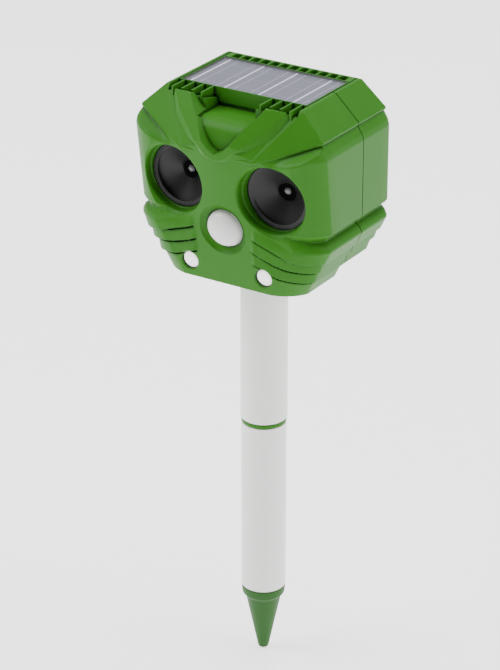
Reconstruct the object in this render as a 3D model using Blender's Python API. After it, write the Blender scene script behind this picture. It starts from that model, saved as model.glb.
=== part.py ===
"""Solar ultrasonic pest repeller on a ground stake. Metres, +Z up, front towards -Y.
The origin is the centre of the spike's blunt tip, on the pole's axis."""

import math

import bmesh
import bpy
from mathutils import Vector

# Fits
GAP = 0.0003            # between pieces that touch or slide
OVER = 0.004            # how far a cutter runs past what it cuts

# Pole
SPIKE_RIM_Z = 0.0465    # top face of the spike's rim
SPIKE_RIM_H = 0.0056
SPIKE_TIP_D = 0.0068
SPIKE_CONE_SHARE = 0.80  # cone's widest diameter against the rim's
LOWER_TUBE_D = 0.0276
UPPER_TUBE_D = 0.0286
TUBE_WALL = 0.0015
LOWER_TUBE_L = 0.1146
UPPER_TUBE_L = 0.1280
RING_H = 0.0026
PLUG_L = 0.026          # how far each end fitting reaches into a tube
SOCKET_DEPTH = 0.0255   # how far the upper tube reaches into the head
SOCKET_WALL = 0.0022

# Head
HEAD_H = 0.1125         # lowest edge to the top of the panel
HEAD_HALF_W = 0.0641
HEAD_BACK = 0.0380
FACE_BOTTOM_Y = -0.0402
FACE_LEAN = 0.1372      # forward per metre of height
CORNER_X = 0.0170       # front vertical corner, across and back
CORNER_Y = 0.0130
REAR_CORNER = 0.0070
WALL = 0.0022
SEAM_Y = 0.0029
RIB_STEP = 0.0012
RIB_EDGE = 0.0004
RIB_UPS = (0.0090, 0.0165, 0.0231)              # the three steps below the ledge
RIB_INSETS = (0.0176, 0.0125, 0.0088, 0.0052)   # lowest edge, then each step
LEDGE_UP = 0.0310
NOTCH = 0.0033
NOTCH_UPS = (0.0020, 0.0065, 0.0109)  # its start, bottom and end above the ledge
LEDGE_ROUND = 0.0005
SHOULDER_ROWS = ((-0.0085, 0.0, 0.0), (-0.0035, 0.0022, 0.0040), (0.0010, 0.0042, 0.0070))  # up, in, back
CORNER_MIDDLE = (0.62, 0.36)    # where the front corner's fold lies, across and back

# Hood and top
HOOD_EDGE_HALF = 0.0454
HOOD_EDGE_FRONT = -0.0325
HOOD_EDGE_BACK = 0.0323
HOOD_LIP_HALF = 0.0613
HOOD_LIP_DROP = 0.0156
HOOD_LIP_FRONT = -0.0369
HOOD_LIP_BACK = 0.0343
HOOD_REAR_IN = 0.0010
BROW = ((0.0154, 0.0068, 0.0255), (0.0232, 0.0024, 0.0274), (0.0299, 0.0002, 0.0289))  # in, back, down
BONNET_RIM = (         # half width, and drop below the top
    (0.0, 0.0347), (0.0080, 0.0327), (0.0140, 0.0290), (0.0217, 0.0233), (0.0330, 0.0140), (0.0395, 0.0009),
)
BONNET_BEND_DROP = 0.0233
BONNET_PROUD = 0.0018
BONNET_SLOPE = 0.50
BONNET_BACK = -0.0250
SCOOP_DROP = 0.0289
SCOOP_DEPTH = 0.0012
SCOOP_EDGE = ((0.0059, 0.0034), (0.0146, 0.0106), (0.0207, 0.0168), (0.0263, 0.0263))  # half width, up
SCOOP_TOP_HALF = 0.0282
SCOOP_STEPS = ((0.0030, 0.0170), (0.0055, 0.0135))  # back from the lip, and drop below the top
SCOOP_FLOOR_START = 0.0095
POCKET_START = 0.0005
SCOOP_REACH = 0.050     # half width that surely clears the hollow
CLEAR_FRONT = -0.080    # well in front of the face
BLOCK_FRONT = -0.0360
DECK_RISE = 0.0030
DECK_LIP = 0.0030
BACK_TAPER_UP = 0.0260
BACK_TAPER = 0.16
REAR_RAISE = 0.0090
RECESS_HALF = 0.0432
RECESS_DEPTH = 0.0092
CAVITY_DROP = 0.0135    # the cavity's ceiling, below the top
POCKET_HALF = 0.0165
POCKET_FLOOR_DROP = 0.0111

# Solar panel
PANEL_HALF_X = 0.0413
PANEL_FRONT = -0.0224
PANEL_BACK = 0.0227
PANEL_T = 0.0030
GLASS_T = 0.0010
FRAME_EDGE = 0.0011
FIN_T = 0.0012
FIN_PITCH = 0.00655
FIN_COUNT = 13
FIN_SLOPE = 0.0014
FIN_FRONT = -0.0362
FIN_BACK = 0.0318

# Speakers
SPEAKER_X = 0.0328
SPEAKER_Z_UP = 0.0605   # above the head's lowest edge
RECESS_R = 0.0212
LEDGE_DEPTH = 0.0050
HORN_R = 0.0196
HORN_DEPTH = 0.0095
HORN_CONE = 0.0100
HORN_T = 0.0016
HORN_LIP = 0.0034
THROAT_R = 0.0047
PLUG_R = 0.0022
DRIVER_R = 0.0140
DRIVER_L = 0.0130
GASKET_R = 0.0170
GASKET_T = 0.0010

# Sensor and lamps
PIR_Z_UP = 0.0358
PIR_RECESS_R = 0.0154
PIR_RECESS_DEPTH = 0.0030
PIR_LENS_R = 0.0115
PIR_DOME_H = 0.0072
PIR_FLANGE = 0.0016
PIR_SKIN = 0.0010
PIR_CAN_R = 0.0041
LED_X = 0.0251
LED_Z_UP = 0.0098
LED_R = 0.0052
LED_DEPTH = 0.0014
LED_LENS_T = 0.0017
LAMP_R = 0.0026
LAMP_L = 0.0060

# Inside
BOARD_Y = -0.0060
BOARD_T = 0.0016
BOARD_HALF_X = 0.0480
BOARD_LOW_UP = 0.0350
BOARD_HIGH_UP = 0.0820
CELL_D = 0.0143
CELL_L = 0.0500
CELL_COUNT = 3
CELL_PITCH = 0.0150
CELL_LOW_UP = 0.0560
CELL_IN = 0.0008
CONTACT_T = 0.0006
CONTACT_ROOM = 0.0015
TRAY_WALL = 0.0014
DOOR_HALF_X = 0.0330
DOOR_MARGIN = 0.0010
DOOR_LAND = 0.0056
DOOR_T = 0.0022
DOOR_SCREW_L = 0.0042

# Controls on the back
CONTROL_Z_UP = 0.0345
DIAL_X = 0.0225
DIAL_R = 0.0080
DIAL_SEAT = 0.0052
DIAL_MARK = 0.0014
SHAFT_R = 0.0030
SWITCH_L = 0.0060
BUTTON_R = 0.0050
BUTTON_DISH = 0.0024
BUTTON_DISH_R = 0.0082
BUTTON_FLANGE = 0.0010
BUTTON_TRAVEL = 0.0012
PORT_X = 0.0430
PORT_W = 0.0130
PORT_H = 0.0085
PORT_T = 0.0018
JACK_W = 0.0080
JACK_H = 0.0034
JACK_L = 0.0060
JACK_SKIN = 0.0005

# Screws
SCREW_R = 0.0028
SCREW_SHANK_R = 0.0013
SCREW_HEAD_T = 0.0018
SCREW_SINK = 0.0032
SCREW_REACH = 0.0100
SCREW_TOP_DROP = 0.0280
SCREW_HIGH_IN = 0.0085
SCREW_LOW_UP = 0.0270
SCREW_LOW_IN = 0.0115
BOSS_R = 0.0042
BOSS_L = 0.0140
WEB_T = 0.0024
COUPLER_WALL = 0.0016
COLLAR_H = 0.0040

ROUND = 40
SMALL_ROUND = 20


# Levels that follow from the sizes above
RING_Z = SPIKE_RIM_Z + LOWER_TUBE_L
UPPER_Z = RING_Z + RING_H
TUBE_TOP = UPPER_Z + UPPER_TUBE_L
BASE = TUBE_TOP - SOCKET_DEPTH
TOP = BASE + HEAD_H
CEILING = TOP - CAVITY_DROP
RECESS_Z = TOP - RECESS_DEPTH
POCKET_Z = TOP - POCKET_FLOOR_DROP
CONTROL_Z = BASE + CONTROL_Z_UP
DIAL_SEAT_R = DIAL_R + 0.0006
HORN_SEAT_DEPTH = HORN_DEPTH + HORN_T + GASKET_T + 2 * GAP
PIR_SEAT_DEPTH = PIR_RECESS_DEPTH + PIR_FLANGE + GAP
LED_SEAT_DEPTH = LED_DEPTH + LED_LENS_T + GAP


def face_y(z):
    """The front face's plane, which leans forward towards the top."""
    return FACE_BOTTOM_Y - FACE_LEAN * (z - BASE)


# ---------------------------------------------------------------- helpers

def clear_scene():
    for obj in list(bpy.data.objects):
        bpy.data.objects.remove(obj, do_unlink=True)


def material(name, colour, roughness, metallic=0.0):
    mat = bpy.data.materials.get(name) or bpy.data.materials.new(name)
    mat.use_nodes = True
    shader = mat.node_tree.nodes["Principled BSDF"]
    shader.inputs["Base Color"].default_value = (*colour, 1.0)
    shader.inputs["Roughness"].default_value = roughness
    shader.inputs["Metallic"].default_value = metallic
    mat.diffuse_color = (*colour, 1.0)
    return mat


def solid(name, bm, mat=None):
    """A mesh object with its faces pointing out."""
    bmesh.ops.recalc_face_normals(bm, faces=bm.faces)
    mesh = bpy.data.meshes.new(name)
    bm.to_mesh(mesh)
    bm.free()
    if mat is not None:
        mesh.materials.append(mat)
    obj = bpy.data.objects.new(name, mesh)
    bpy.context.scene.collection.objects.link(obj)
    return obj


def loft(name, sections, mat=None):
    """Closed outlines of equal length, stacked and capped."""
    bm = bmesh.new()
    rings = [[bm.verts.new(point) for point in section] for section in sections]
    count = len(rings[0])
    for low, high in zip(rings, rings[1:]):
        for i in range(count):
            j = (i + 1) % count
            bm.faces.new((low[i], low[j], high[j], high[i]))
    bm.faces.new(reversed(rings[0]))
    bm.faces.new(rings[-1])
    return solid(name, bm, mat)


def box(name, low, high, mat=None):
    (x0, y0, z0), (x1, y1, z1) = low, high
    outline = ((x0, y0), (x1, y0), (x1, y1), (x0, y1))
    return loft(name, [[(x, y, z) for x, y in outline] for z in (z0, z1)], mat)


def along_y(name, outline, y0, y1, mat=None):
    """An outline of (x, z) points, extruded along Y."""
    return loft(name, [[(x, y, z) for x, z in outline] for y in (y0, y1)], mat)


def along_x(name, outline, x0, x1, mat=None):
    """An outline of (y, z) points, extruded along X."""
    return loft(name, [[(x, y, z) for y, z in outline] for x in (x0, x1)], mat)


def hull(name, points, mat=None):
    bm = bmesh.new()
    for point in points:
        bm.verts.new(point)
    bmesh.ops.convex_hull(bm, input=bm.verts)
    loose = [v for v in bm.verts if not v.link_faces]
    bmesh.ops.delete(bm, geom=loose, context="VERTS")
    return solid(name, bm, mat)


def turned(name, profile, centre, mat=None, axis="Y", steps=ROUND):
    """A closed profile of (radius, distance along the axis), turned about the axis through centre."""
    bm = bmesh.new()
    rings = []
    for radius, along in profile:
        turns = [2 * math.pi * i / steps for i in range(steps if radius > 0 else 1)]
        ring = []
        for turn in turns:
            across, up = radius * math.cos(turn), radius * math.sin(turn)
            point = (across, up, along) if axis == "Z" else (across, along, up)
            ring.append(bm.verts.new(Vector(centre) + Vector(point)))
        rings.append(ring)
    for first, second in zip(rings, rings[1:] + rings[:1]):
        if len(first) == len(second) == 1:
            continue
        for i in range(steps):
            j = (i + 1) % steps
            corners = [first[i % len(first)], first[j % len(first)]]
            corners += [second[j % len(second)], second[i % len(second)]]
            bm.faces.new(list(dict.fromkeys(corners)))
    return finish_round(solid(name, bm, mat))


def disc(name, radius, a0, a1, centre, mat=None, axis="Y", steps=ROUND):
    """A plain cylinder between two distances along the axis."""
    profile = [(0, a0), (radius, a0), (radius, a1), (0, a1)]
    return turned(name, profile, centre, mat, axis, steps)


def ring(name, inner, outer, a0, a1, centre, mat=None, axis="Y", steps=ROUND):
    profile = [(inner, a0), (outer, a0), (outer, a1), (inner, a1)]
    return turned(name, profile, centre, mat, axis, steps)


def finish_round(obj):
    obj.data.shade_smooth()
    obj.data.set_sharp_from_angle(angle=math.radians(40))
    return obj


def bake(obj):
    """Keeps the result of the modifiers as the object's own mesh."""
    graph = bpy.context.evaluated_depsgraph_get()
    mesh = bpy.data.meshes.new_from_object(obj.evaluated_get(graph))
    obj.modifiers.clear()
    obj.data = mesh
    return obj


def combine(obj, others, operation, solver="EXACT"):
    for other in others:
        modifier = obj.modifiers.new(operation.title(), "BOOLEAN")
        modifier.operation = operation
        modifier.solver = solver
        modifier.object = other
        other.display_type = "WIRE"
        other.hide_render = True
    bake(obj)
    for other in others:
        bpy.data.objects.remove(other, do_unlink=True)
    return obj


def cut(obj, *others):
    return combine(obj, others, "DIFFERENCE")


def join(obj, *others):
    return combine(obj, others, "UNION")


def shell_cut(shell, *others):
    """Cuts a thin faceted shell, where the exact solver leaves open edges."""
    return combine(shell, others, "DIFFERENCE", "MANIFOLD")


def pivot(obj, point):
    """Puts the object's origin on its joint's axis and leaves its shape where it is."""
    for vertex in obj.data.vertices:
        vertex.co -= Vector(point)
    obj.location = point
    return obj


SIDES = (("left", -1), ("right", 1))


def mirrored(points):
    return [(sign * x, y, z) for x, y, z in points for sign in (-1, 1)]


# ---------------------------------------------------------------- colours

GREEN = material("moulded_green", (0.075, 0.235, 0.045), 0.38)
DARK_GREEN = material("spike_green", (0.055, 0.190, 0.050), 0.45)
HORN_GREY = material("horn_grey", (0.035, 0.033, 0.036), 0.45)
PLUG_GREY = material("plug_grey", (0.075, 0.075, 0.080), 0.35)
TUBE_WHITE = material("tube_white", (0.78, 0.77, 0.76), 0.40)
PEARL = material("lens_pearl", (0.80, 0.79, 0.80), 0.22)
LAMP_WHITE = material("lamp_white", (0.92, 0.92, 0.92), 0.20)
CELL_BLUE = material("solar_cell", (0.13, 0.14, 0.21), 0.25)
CLEAR = material("panel_window", (0.60, 0.63, 0.72), 0.08)
RUBBER = material("black_rubber", (0.022, 0.022, 0.024), 0.70)
CAN_STEEL = material("sensor_steel", (0.62, 0.62, 0.63), 0.30, 1.0)
BOARD_GREEN = material("board_green", (0.02, 0.12, 0.06), 0.45)
BLACK = material("black_plastic", (0.02, 0.02, 0.02), 0.45)
CELL_SLEEVE = material("cell_sleeve", (0.10, 0.28, 0.14), 0.35)
SCREW_STEEL = material("screw_steel", (0.56, 0.56, 0.58), 0.32, 1.0)


# ---------------------------------------------------------------- head's outer shape

def outline(z, half, front, back, inset=0.0):
    """One level of the housing in plan: a flat face, deep front corners, flat sides and back."""
    half -= inset
    front += inset
    back -= inset
    flat = half - CORNER_X
    corner = ((flat, front), (flat + CORNER_MIDDLE[0] * CORNER_X, front + CORNER_MIDDLE[1] * CORNER_Y))
    side = ((half, front + CORNER_Y), (half, back - REAR_CORNER), (half - REAR_CORNER, back))
    right = corner + side
    left = [(-x, y) for x, y in reversed(right)]
    return [(x, y, z) for x, y in (*right, *left)]


def levels():
    """(height, half width, extra setback of the front) from the lowest edge up to the hood."""
    middle = HEAD_HALF_W
    shoulder = TOP - HOOD_LIP_DROP
    rows = [(BASE, middle - RIB_INSETS[0], 0.0)]
    for up, inset in zip(RIB_UPS, RIB_INSETS[1:]):
        rows.append((BASE + up, middle - inset, 0.0))
        rows.append((BASE + up + RIB_EDGE, middle - inset + RIB_STEP, 0.0))
    rows += [
        (BASE + LEDGE_UP, middle, 0.0),
        (BASE + LEDGE_UP + NOTCH_UPS[0], middle - LEDGE_ROUND, 0.0),
        (BASE + LEDGE_UP + NOTCH_UPS[1], middle - NOTCH, 0.0),
        (BASE + LEDGE_UP + NOTCH_UPS[2], middle, 0.0),
    ]
    return rows + [(shoulder + up, middle - inset, setback) for up, inset, setback in SHOULDER_ROWS]


def back_y(z):
    """The back is flat, and draws in under the controls."""
    low = BASE + BACK_TAPER_UP
    return HEAD_BACK - max(0.0, low - z) * BACK_TAPER


def body(name, floor, inset=0.0):
    """The housing's main solid, or with an inset the hollow inside it."""
    rows = levels()
    low = max((row for row in rows if row[0] <= floor + 1e-9), key=lambda row: row[0])
    bottom = floor + inset
    rows = [row for row in rows if row[0] > bottom + 1e-6]
    if inset:
        top = rows[-1]
        rows = [row for row in rows if row[0] < CEILING] + [(CEILING, *top[1:])]
    rows = [(bottom, *low[1:])] + rows
    sections = [
        outline(z, half, face_y(z) + setback, back_y(z), inset)
        for z, half, setback in rows
    ]
    return loft(name, sections)


def hood():
    """The cap over the body: side slopes, front facets and the drooping brow."""
    lip = TOP - HOOD_LIP_DROP
    brow = [(HOOD_LIP_HALF - inset, face_y(TOP - drop) + setback, TOP - drop) for inset, setback, drop in BROW]
    points = [
        (HOOD_EDGE_HALF, HOOD_EDGE_FRONT, TOP),
        (HOOD_EDGE_HALF, HOOD_EDGE_BACK, TOP),
        (HOOD_LIP_HALF, HOOD_LIP_FRONT, lip),
        (HOOD_LIP_HALF, HOOD_LIP_BACK, lip),
        (HOOD_LIP_HALF - REAR_CORNER, HEAD_BACK - HOOD_REAR_IN, lip),
        *brow,
    ]
    return hull("hood", mirrored(points))


def bonnet_y(z):
    """Flush with the face, then leaning back above the brows."""
    bend = TOP - BONNET_BEND_DROP
    if z <= bend:
        return face_y(z) - BONNET_PROUD
    return face_y(bend) - BONNET_PROUD + BONNET_SLOPE * (z - bend)


def bonnet():
    """The raised wedge between the brows, whose lower edge is a V with a round point."""
    rim = [(x, TOP - drop) for x, drop in BONNET_RIM]
    front = [(x, bonnet_y(z), z) for x, z in rim]
    deep = [(x, BONNET_BACK, z) for x, z in rim]
    return hull("bonnet", mirrored(front + deep))


def scoop_cutters():
    """The hollow inside the V and the finger pocket behind it."""
    low = TOP - SCOOP_DROP
    lobes = [(x, low + up) for x, up in SCOOP_EDGE] + [(SCOOP_TOP_HALF, TOP + OVER)]
    left = [(-x, z) for x, z in reversed(lobes)]
    wedge = along_y("wedge", [(0.0, low), *lobes, *left], CLEAR_FRONT, 0.0)
    lip = face_y(low) + SCOOP_DEPTH
    profile = [
        (CLEAR_FRONT, low - OVER),
        (lip, low - OVER),
        *[(lip + back, TOP - drop) for back, drop in SCOOP_STEPS],
        (lip + SCOOP_FLOOR_START, POCKET_Z),
        (BLOCK_FRONT, POCKET_Z),
        (BLOCK_FRONT, TOP + OVER),
        (CLEAR_FRONT, TOP + OVER),
    ]
    combine(wedge, [along_x("scoop_face", profile, -SCOOP_REACH, SCOOP_REACH)], "INTERSECT")
    low_corner = (-POCKET_HALF, lip + SCOOP_STEPS[-1][0] + POCKET_START, POCKET_Z)
    pocket = box("pocket", low_corner, (POCKET_HALF, PANEL_FRONT, TOP + OVER))
    return wedge, pocket


def deck_z(y):
    """The sloping deck under the front fins."""
    start, end = PANEL_FRONT - FRAME_EDGE - GAP, FIN_FRONT - GAP
    share = (y - start) / (end - start)
    return RECESS_Z + DECK_RISE + share * (RECESS_DEPTH - DECK_RISE - DECK_LIP)


def deck_cutter():
    """The tray that the panel and its fins sit in, shallower towards the front."""
    front, step = FIN_FRONT - GAP, PANEL_FRONT - FRAME_EDGE - GAP
    back = FIN_BACK + GAP
    shape = [
        (front, deck_z(front)),
        (step, deck_z(step)),
        (step, RECESS_Z),
        (back, RECESS_Z),
        (back, TOP + OVER),
        (front, TOP + OVER),
    ]
    return along_x("deck", shape, -RECESS_HALF, RECESS_HALF)


def round_seats():
    """(x, z, radius, depth) of each round seat in the face."""
    speaker_z, pir_z, led_z = BASE + SPEAKER_Z_UP, BASE + PIR_Z_UP, BASE + LED_Z_UP
    rows = [(0.0, pir_z, PIR_LENS_R + GAP, PIR_SEAT_DEPTH)]
    for _, sign in SIDES:
        rows.append((sign * SPEAKER_X, speaker_z, HORN_R + GAP, HORN_SEAT_DEPTH))
        rows.append((sign * LED_X, led_z, LED_R + GAP, LED_SEAT_DEPTH))
    return rows


def screw_points():
    """(x, z) of the case screws, against the side walls."""
    high, low = TOP - SCREW_TOP_DROP, BASE + SCREW_LOW_UP
    return [
        (sign * x, z)
        for _, sign in SIDES
        for x, z in ((HEAD_HALF_W - SCREW_HIGH_IN, high), (HEAD_HALF_W - SCREW_LOW_IN, low))
    ]


def kept_solid():
    """Everything that stays solid inside the housing: seats, bosses, collars and thick walls."""
    rows = []
    for x, z, radius, depth in round_seats():
        extra = RECESS_R - HORN_R - GAP if radius > PIR_LENS_R + GAP else 0.0
        back = face_y(z) + depth + WALL
        rows.append(disc("seat", radius + extra + WALL, CLEAR_FRONT, back, (x, 0, z)))
    for x, z in screw_points():
        rows.append(disc("boss", BOSS_R, SEAM_Y - BOSS_L, 0.080, (x, 0, z), steps=SMALL_ROUND))
        xs = sorted((x, math.copysign(HEAD_HALF_W, x)))
        rows.append(box("web", (xs[0], SEAM_Y - BOSS_L, z - WEB_T / 2), (xs[1], 0.080, z + WEB_T / 2)))
    for _, sign in SIDES:
        centre = (sign * DIAL_X, HEAD_BACK, CONTROL_Z)
        rows.append(disc("dial_cup", DIAL_SEAT_R + WALL, -DIAL_SEAT - WALL, 0.01, centre))
    centre = (0, HEAD_BACK, CONTROL_Z)
    rows.append(disc("button_cup", BUTTON_DISH_R + WALL, -BUTTON_DISH - WALL, 0.01, centre))
    rows.append(port_box("port_cup", WALL, PORT_T + GAP + WALL))
    rows.append(door_box("door_frame", WALL, DOOR_T + GAP + WALL))
    collar = socket_outer() + GAP + WALL
    rows.append(disc("collar", collar, -0.1, COLLAR_H, (0, 0, BASE + WALL), axis="Z"))
    return rows


def port_box(name, grow, depth, lower=0.0):
    low = (PORT_X - PORT_W / 2 - grow, HEAD_BACK - depth, CONTROL_Z - PORT_H / 2 - grow - lower)
    high = (PORT_X + PORT_W / 2 + grow, HEAD_BACK + OVER, CONTROL_Z + PORT_H / 2 + grow)
    return box(name, low, high)


def door_box(name, grow, depth):
    low, high = door_span()
    corner = (-DOOR_HALF_X - grow, HEAD_BACK - depth, low - grow)
    return box(name, corner, (DOOR_HALF_X + grow, HEAD_BACK + OVER, high + grow))


def door_span():
    """Heights of the battery door's lower and upper edge."""
    low = BASE + CELL_LOW_UP - CELL_D / 2 - DOOR_MARGIN
    return low, low + (CELL_COUNT - 1) * CELL_PITCH + CELL_D + 2 * DOOR_MARGIN


def housing(name, floor):
    """The whole hollow head on a given floor, before it is parted at the seam."""
    outer = combine(body(name, floor), [hood(), bonnet()], "UNION", "MANIFOLD")
    shell_cut(outer, *scoop_cutters(), deck_cutter())
    hollow = shell_cut(body("hollow", floor, WALL), *kept_solid())
    hole = disc("hole", socket_outer() + GAP, -0.02, 0.03, (0, 0, BASE), axis="Z")
    return shell_cut(outer, hollow, hole)


def dress(obj, mat):
    """One material on an object that was put together from several shapes."""
    obj.data.materials.clear()
    obj.data.materials.append(mat)
    return obj


def socket_outer():
    return UPPER_TUBE_D / 2 + GAP + SOCKET_WALL


def front_shell():
    shell = housing("front_shell", BASE)
    shell_cut(shell, box("rear_half", (-0.2, SEAM_Y - GAP / 2, 0.0), (0.2, 0.2, TOP + 0.1)))
    for x, z, radius, depth in round_seats():
        shell_cut(shell, disc("seat", radius, CLEAR_FRONT, face_y(z) + depth, (x, 0, z)))
    for _, sign in SIDES:
        speaker = (sign * SPEAKER_X, 0, BASE + SPEAKER_Z_UP)
        face = face_y(speaker[2])
        shell_cut(shell, disc("mouth", RECESS_R, CLEAR_FRONT, face + LEDGE_DEPTH, speaker))
        shell_cut(shell, disc("bore", GASKET_R, -0.060, -0.015, speaker))
        lamp = (sign * LED_X, 0, BASE + LED_Z_UP)
        shell_cut(shell, disc("bore", LED_R - 0.0012, -0.060, -0.020, lamp, steps=SMALL_ROUND))
    shell_cut(shell, sensor_dish())
    sensor = (0, 0, BASE + PIR_Z_UP)
    shell_cut(shell, disc("bore", PIR_LENS_R - PIR_FLANGE, -0.060, -0.020, sensor))
    for x, z in screw_points():
        low = SEAM_Y - SCREW_REACH - GAP
        shell_cut(shell, disc("thread", SCREW_SHANK_R + GAP, low, 0.02, (x, 0, z), steps=12))
    return dress(shell, GREEN)


def sensor_dish():
    face = face_y(BASE + PIR_Z_UP)
    widening = (PIR_RECESS_R - PIR_LENS_R) / PIR_RECESS_DEPTH
    outer = PIR_RECESS_R + widening * OVER
    dish = [
        (0, face - OVER),
        (outer, face - OVER),
        (PIR_LENS_R + GAP, face + PIR_RECESS_DEPTH),
        (0, face + PIR_RECESS_DEPTH),
    ]
    return turned("dish", dish, (0, 0, BASE + PIR_Z_UP))


def rear_shell():
    shell = housing("rear_shell", BASE + REAR_RAISE)
    shell_cut(shell, box("front_half", (-0.2, -0.2, 0.0), (0.2, SEAM_Y + GAP / 2, TOP + 0.1)))
    shell_cut(shell, door_box("door_seat", GAP, DOOR_T + GAP))
    shell_cut(shell, door_box("door_opening", -DOOR_LAND, 0.030))
    for x, z in screw_points():
        shell_cut(shell, disc("shank", SCREW_SHANK_R + GAP, -0.02, 0.08, (x, 0, z), steps=12))
        head = (x, HEAD_BACK, z)
        shell_cut(shell, disc("sink", SCREW_R + GAP, -SCREW_SINK, 0.01, head, steps=SMALL_ROUND))
    for x, z in door_screw_points():
        head = (x, HEAD_BACK, z)
        shell_cut(shell, disc("thread", SCREW_SHANK_R + GAP, -DOOR_SCREW_L, 0.01, head, steps=12))
    for _, sign in SIDES:
        dial = (sign * DIAL_X, HEAD_BACK, CONTROL_Z)
        shell_cut(shell, disc("dial_seat", DIAL_SEAT_R, -DIAL_SEAT, 0.01, dial))
        shell_cut(shell, disc("shaft", SHAFT_R + GAP, -0.015, 0.01, dial, steps=SMALL_ROUND))
    button = (0, HEAD_BACK, CONTROL_Z)
    shell_cut(shell, disc("dish", BUTTON_DISH_R, -BUTTON_DISH, 0.01, button))
    shell_cut(shell, disc("bore", BUTTON_R + GAP, -0.015, 0.01, button, steps=SMALL_ROUND))
    shell_cut(shell, port_box("port_seat", GAP, PORT_T + GAP, PORT_T / 2))
    shell_cut(shell, jack_box("jack_way", GAP, -0.020, OVER))
    return dress(shell, GREEN)


# ---------------------------------------------------------------- solar panel

def panel_frame():
    """Carrier of the panel, with fins before and behind it."""
    half = PANEL_HALF_X + FRAME_EDGE
    front, back = PANEL_FRONT - FRAME_EDGE, PANEL_BACK + FRAME_EDGE
    low = RECESS_Z + GAP
    frame = box("panel_frame", (-half, front, low), (half, back, TOP), GREEN)
    shelf = TOP - PANEL_T - GAP
    seat_low = (-PANEL_HALF_X - GAP, PANEL_FRONT - GAP, shelf)
    seat = box("seat", seat_low, (PANEL_HALF_X + GAP, PANEL_BACK + GAP, TOP + OVER))
    hollow_low = (-half + WALL, front + WALL, low - OVER)
    hollow = box("hollow", hollow_low, (half - WALL, back - WALL, shelf - WALL))
    cut(frame, seat, hollow)
    wall = box("wall", (-half, FIN_BACK - FIN_T, low), (half, FIN_BACK, TOP))
    fins = [wall]
    for index in range(FIN_COUNT):
        x = (index - (FIN_COUNT - 1) / 2) * FIN_PITCH
        fins.append(fin("rear_fin", x, [
            (back - GAP, low),
            (FIN_BACK - GAP, low),
            (FIN_BACK - GAP, TOP - GAP),
            (back - GAP, TOP - GAP),
        ]))
        if abs(x) > POCKET_HALF + FIN_T / 2:
            fins.append(fin("front_fin", x, [
                (front + GAP, deck_z(front) + GAP),
                (front + GAP, TOP - GAP),
                (FIN_FRONT + FIN_SLOPE, TOP - GAP),
                (FIN_FRONT, deck_z(FIN_FRONT) + GAP),
            ]))
    return join(frame, *fins)


def fin(name, x, shape):
    return along_x(name, shape, x - FIN_T / 2, x + FIN_T / 2)


def solar_panel():
    top = TOP - GLASS_T
    low = (-PANEL_HALF_X, PANEL_FRONT, TOP - PANEL_T)
    box("solar_panel", low, (PANEL_HALF_X, PANEL_BACK, top - GAP), CELL_BLUE)
    low = (-PANEL_HALF_X, PANEL_FRONT, top)
    box("panel_window", low, (PANEL_HALF_X, PANEL_BACK, TOP), CLEAR)


# ---------------------------------------------------------------- speakers, sensor and lamps

def speaker(side, sign):
    z = BASE + SPEAKER_Z_UP
    rim = (sign * SPEAKER_X, face_y(z) + HORN_DEPTH, z)
    horn = [
        (HORN_R, 0),
        (HORN_R, HORN_T),
        (HORN_R - HORN_LIP, HORN_T),
        (HORN_R - HORN_LIP - 0.006, HORN_T + 0.0036),
        (THROAT_R + HORN_T, HORN_CONE),
        (THROAT_R + HORN_T, HORN_CONE + HORN_T),
        (THROAT_R, HORN_CONE + HORN_T),
        (THROAT_R, HORN_CONE),
        (HORN_R - 0.0090, 0.0040),
        (HORN_R - 0.0012, 0),
    ]
    turned("speaker_horn_" + side, horn, rim, HORN_GREY)
    back = HORN_CONE + HORN_T
    plug = [(0, back - 0.0040), (0.0012, back - 0.0032), (PLUG_R, back - 0.0014), (PLUG_R, back), (0, back)]
    turned("phase_plug_" + side, plug, rim, PLUG_GREY, steps=SMALL_ROUND)
    start = back + GAP
    can = [(0, start), (DRIVER_R - 0.002, start), (DRIVER_R, start + 0.002),
           (DRIVER_R, start + DRIVER_L), (0, start + DRIVER_L)]
    turned("speaker_driver_" + side, can, rim, BLACK, steps=32)
    seat = HORN_T + GAP
    ring("speaker_gasket_" + side, GASKET_R, HORN_R, seat, seat + GASKET_T, rim, RUBBER)


def sensor():
    z = BASE + PIR_Z_UP
    at = (0, face_y(z) + PIR_RECESS_DEPTH + GAP, z)
    inner = PIR_LENS_R - PIR_FLANGE
    outside = [(inner * math.sin(a), -PIR_DOME_H * math.cos(a)) for a in arc(6)]
    thin = 1 - PIR_SKIN / inner
    inside = [(r * thin, y * thin) for r, y in reversed(outside)]
    lens = [*outside, (PIR_LENS_R, 0), (PIR_LENS_R, PIR_FLANGE - GAP), (inner * thin, PIR_FLANGE - GAP)]
    turned("pir_lens", [*lens, *inside], at, PEARL, steps=32)
    back = PIR_SEAT_DEPTH - PIR_RECESS_DEPTH + WALL + GAP
    turned("pir_sensor", [(0, 0.0005), (PIR_CAN_R, 0.0005), (PIR_CAN_R, back - GAP), (0, back - GAP)],
           at, CAN_STEEL, steps=24)
    disc("pir_board", PIR_LENS_R, back, back + BOARD_T, at, BOARD_GREEN, steps=24)


def arc(count):
    """Angles from the pole of a dome to its rim."""
    return [math.pi / 2 * i / count for i in range(count + 1)]


def lamp(side, sign):
    z = BASE + LED_Z_UP
    at = (sign * LED_X, face_y(z) + LED_DEPTH, z)
    lens_back = LED_SEAT_DEPTH - LED_DEPTH - GAP
    lens = [(0, -0.0006), (LED_R * 0.6, -0.0004), (LED_R, 0), (LED_R, lens_back), (0, lens_back)]
    turned("lamp_lens_" + side, lens, at, LAMP_WHITE, steps=24)
    disc("lamp_" + side, LAMP_R, lens_back + GAP, lens_back + LAMP_L, at, LAMP_WHITE, steps=16)


# ---------------------------------------------------------------- electronics

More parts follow.
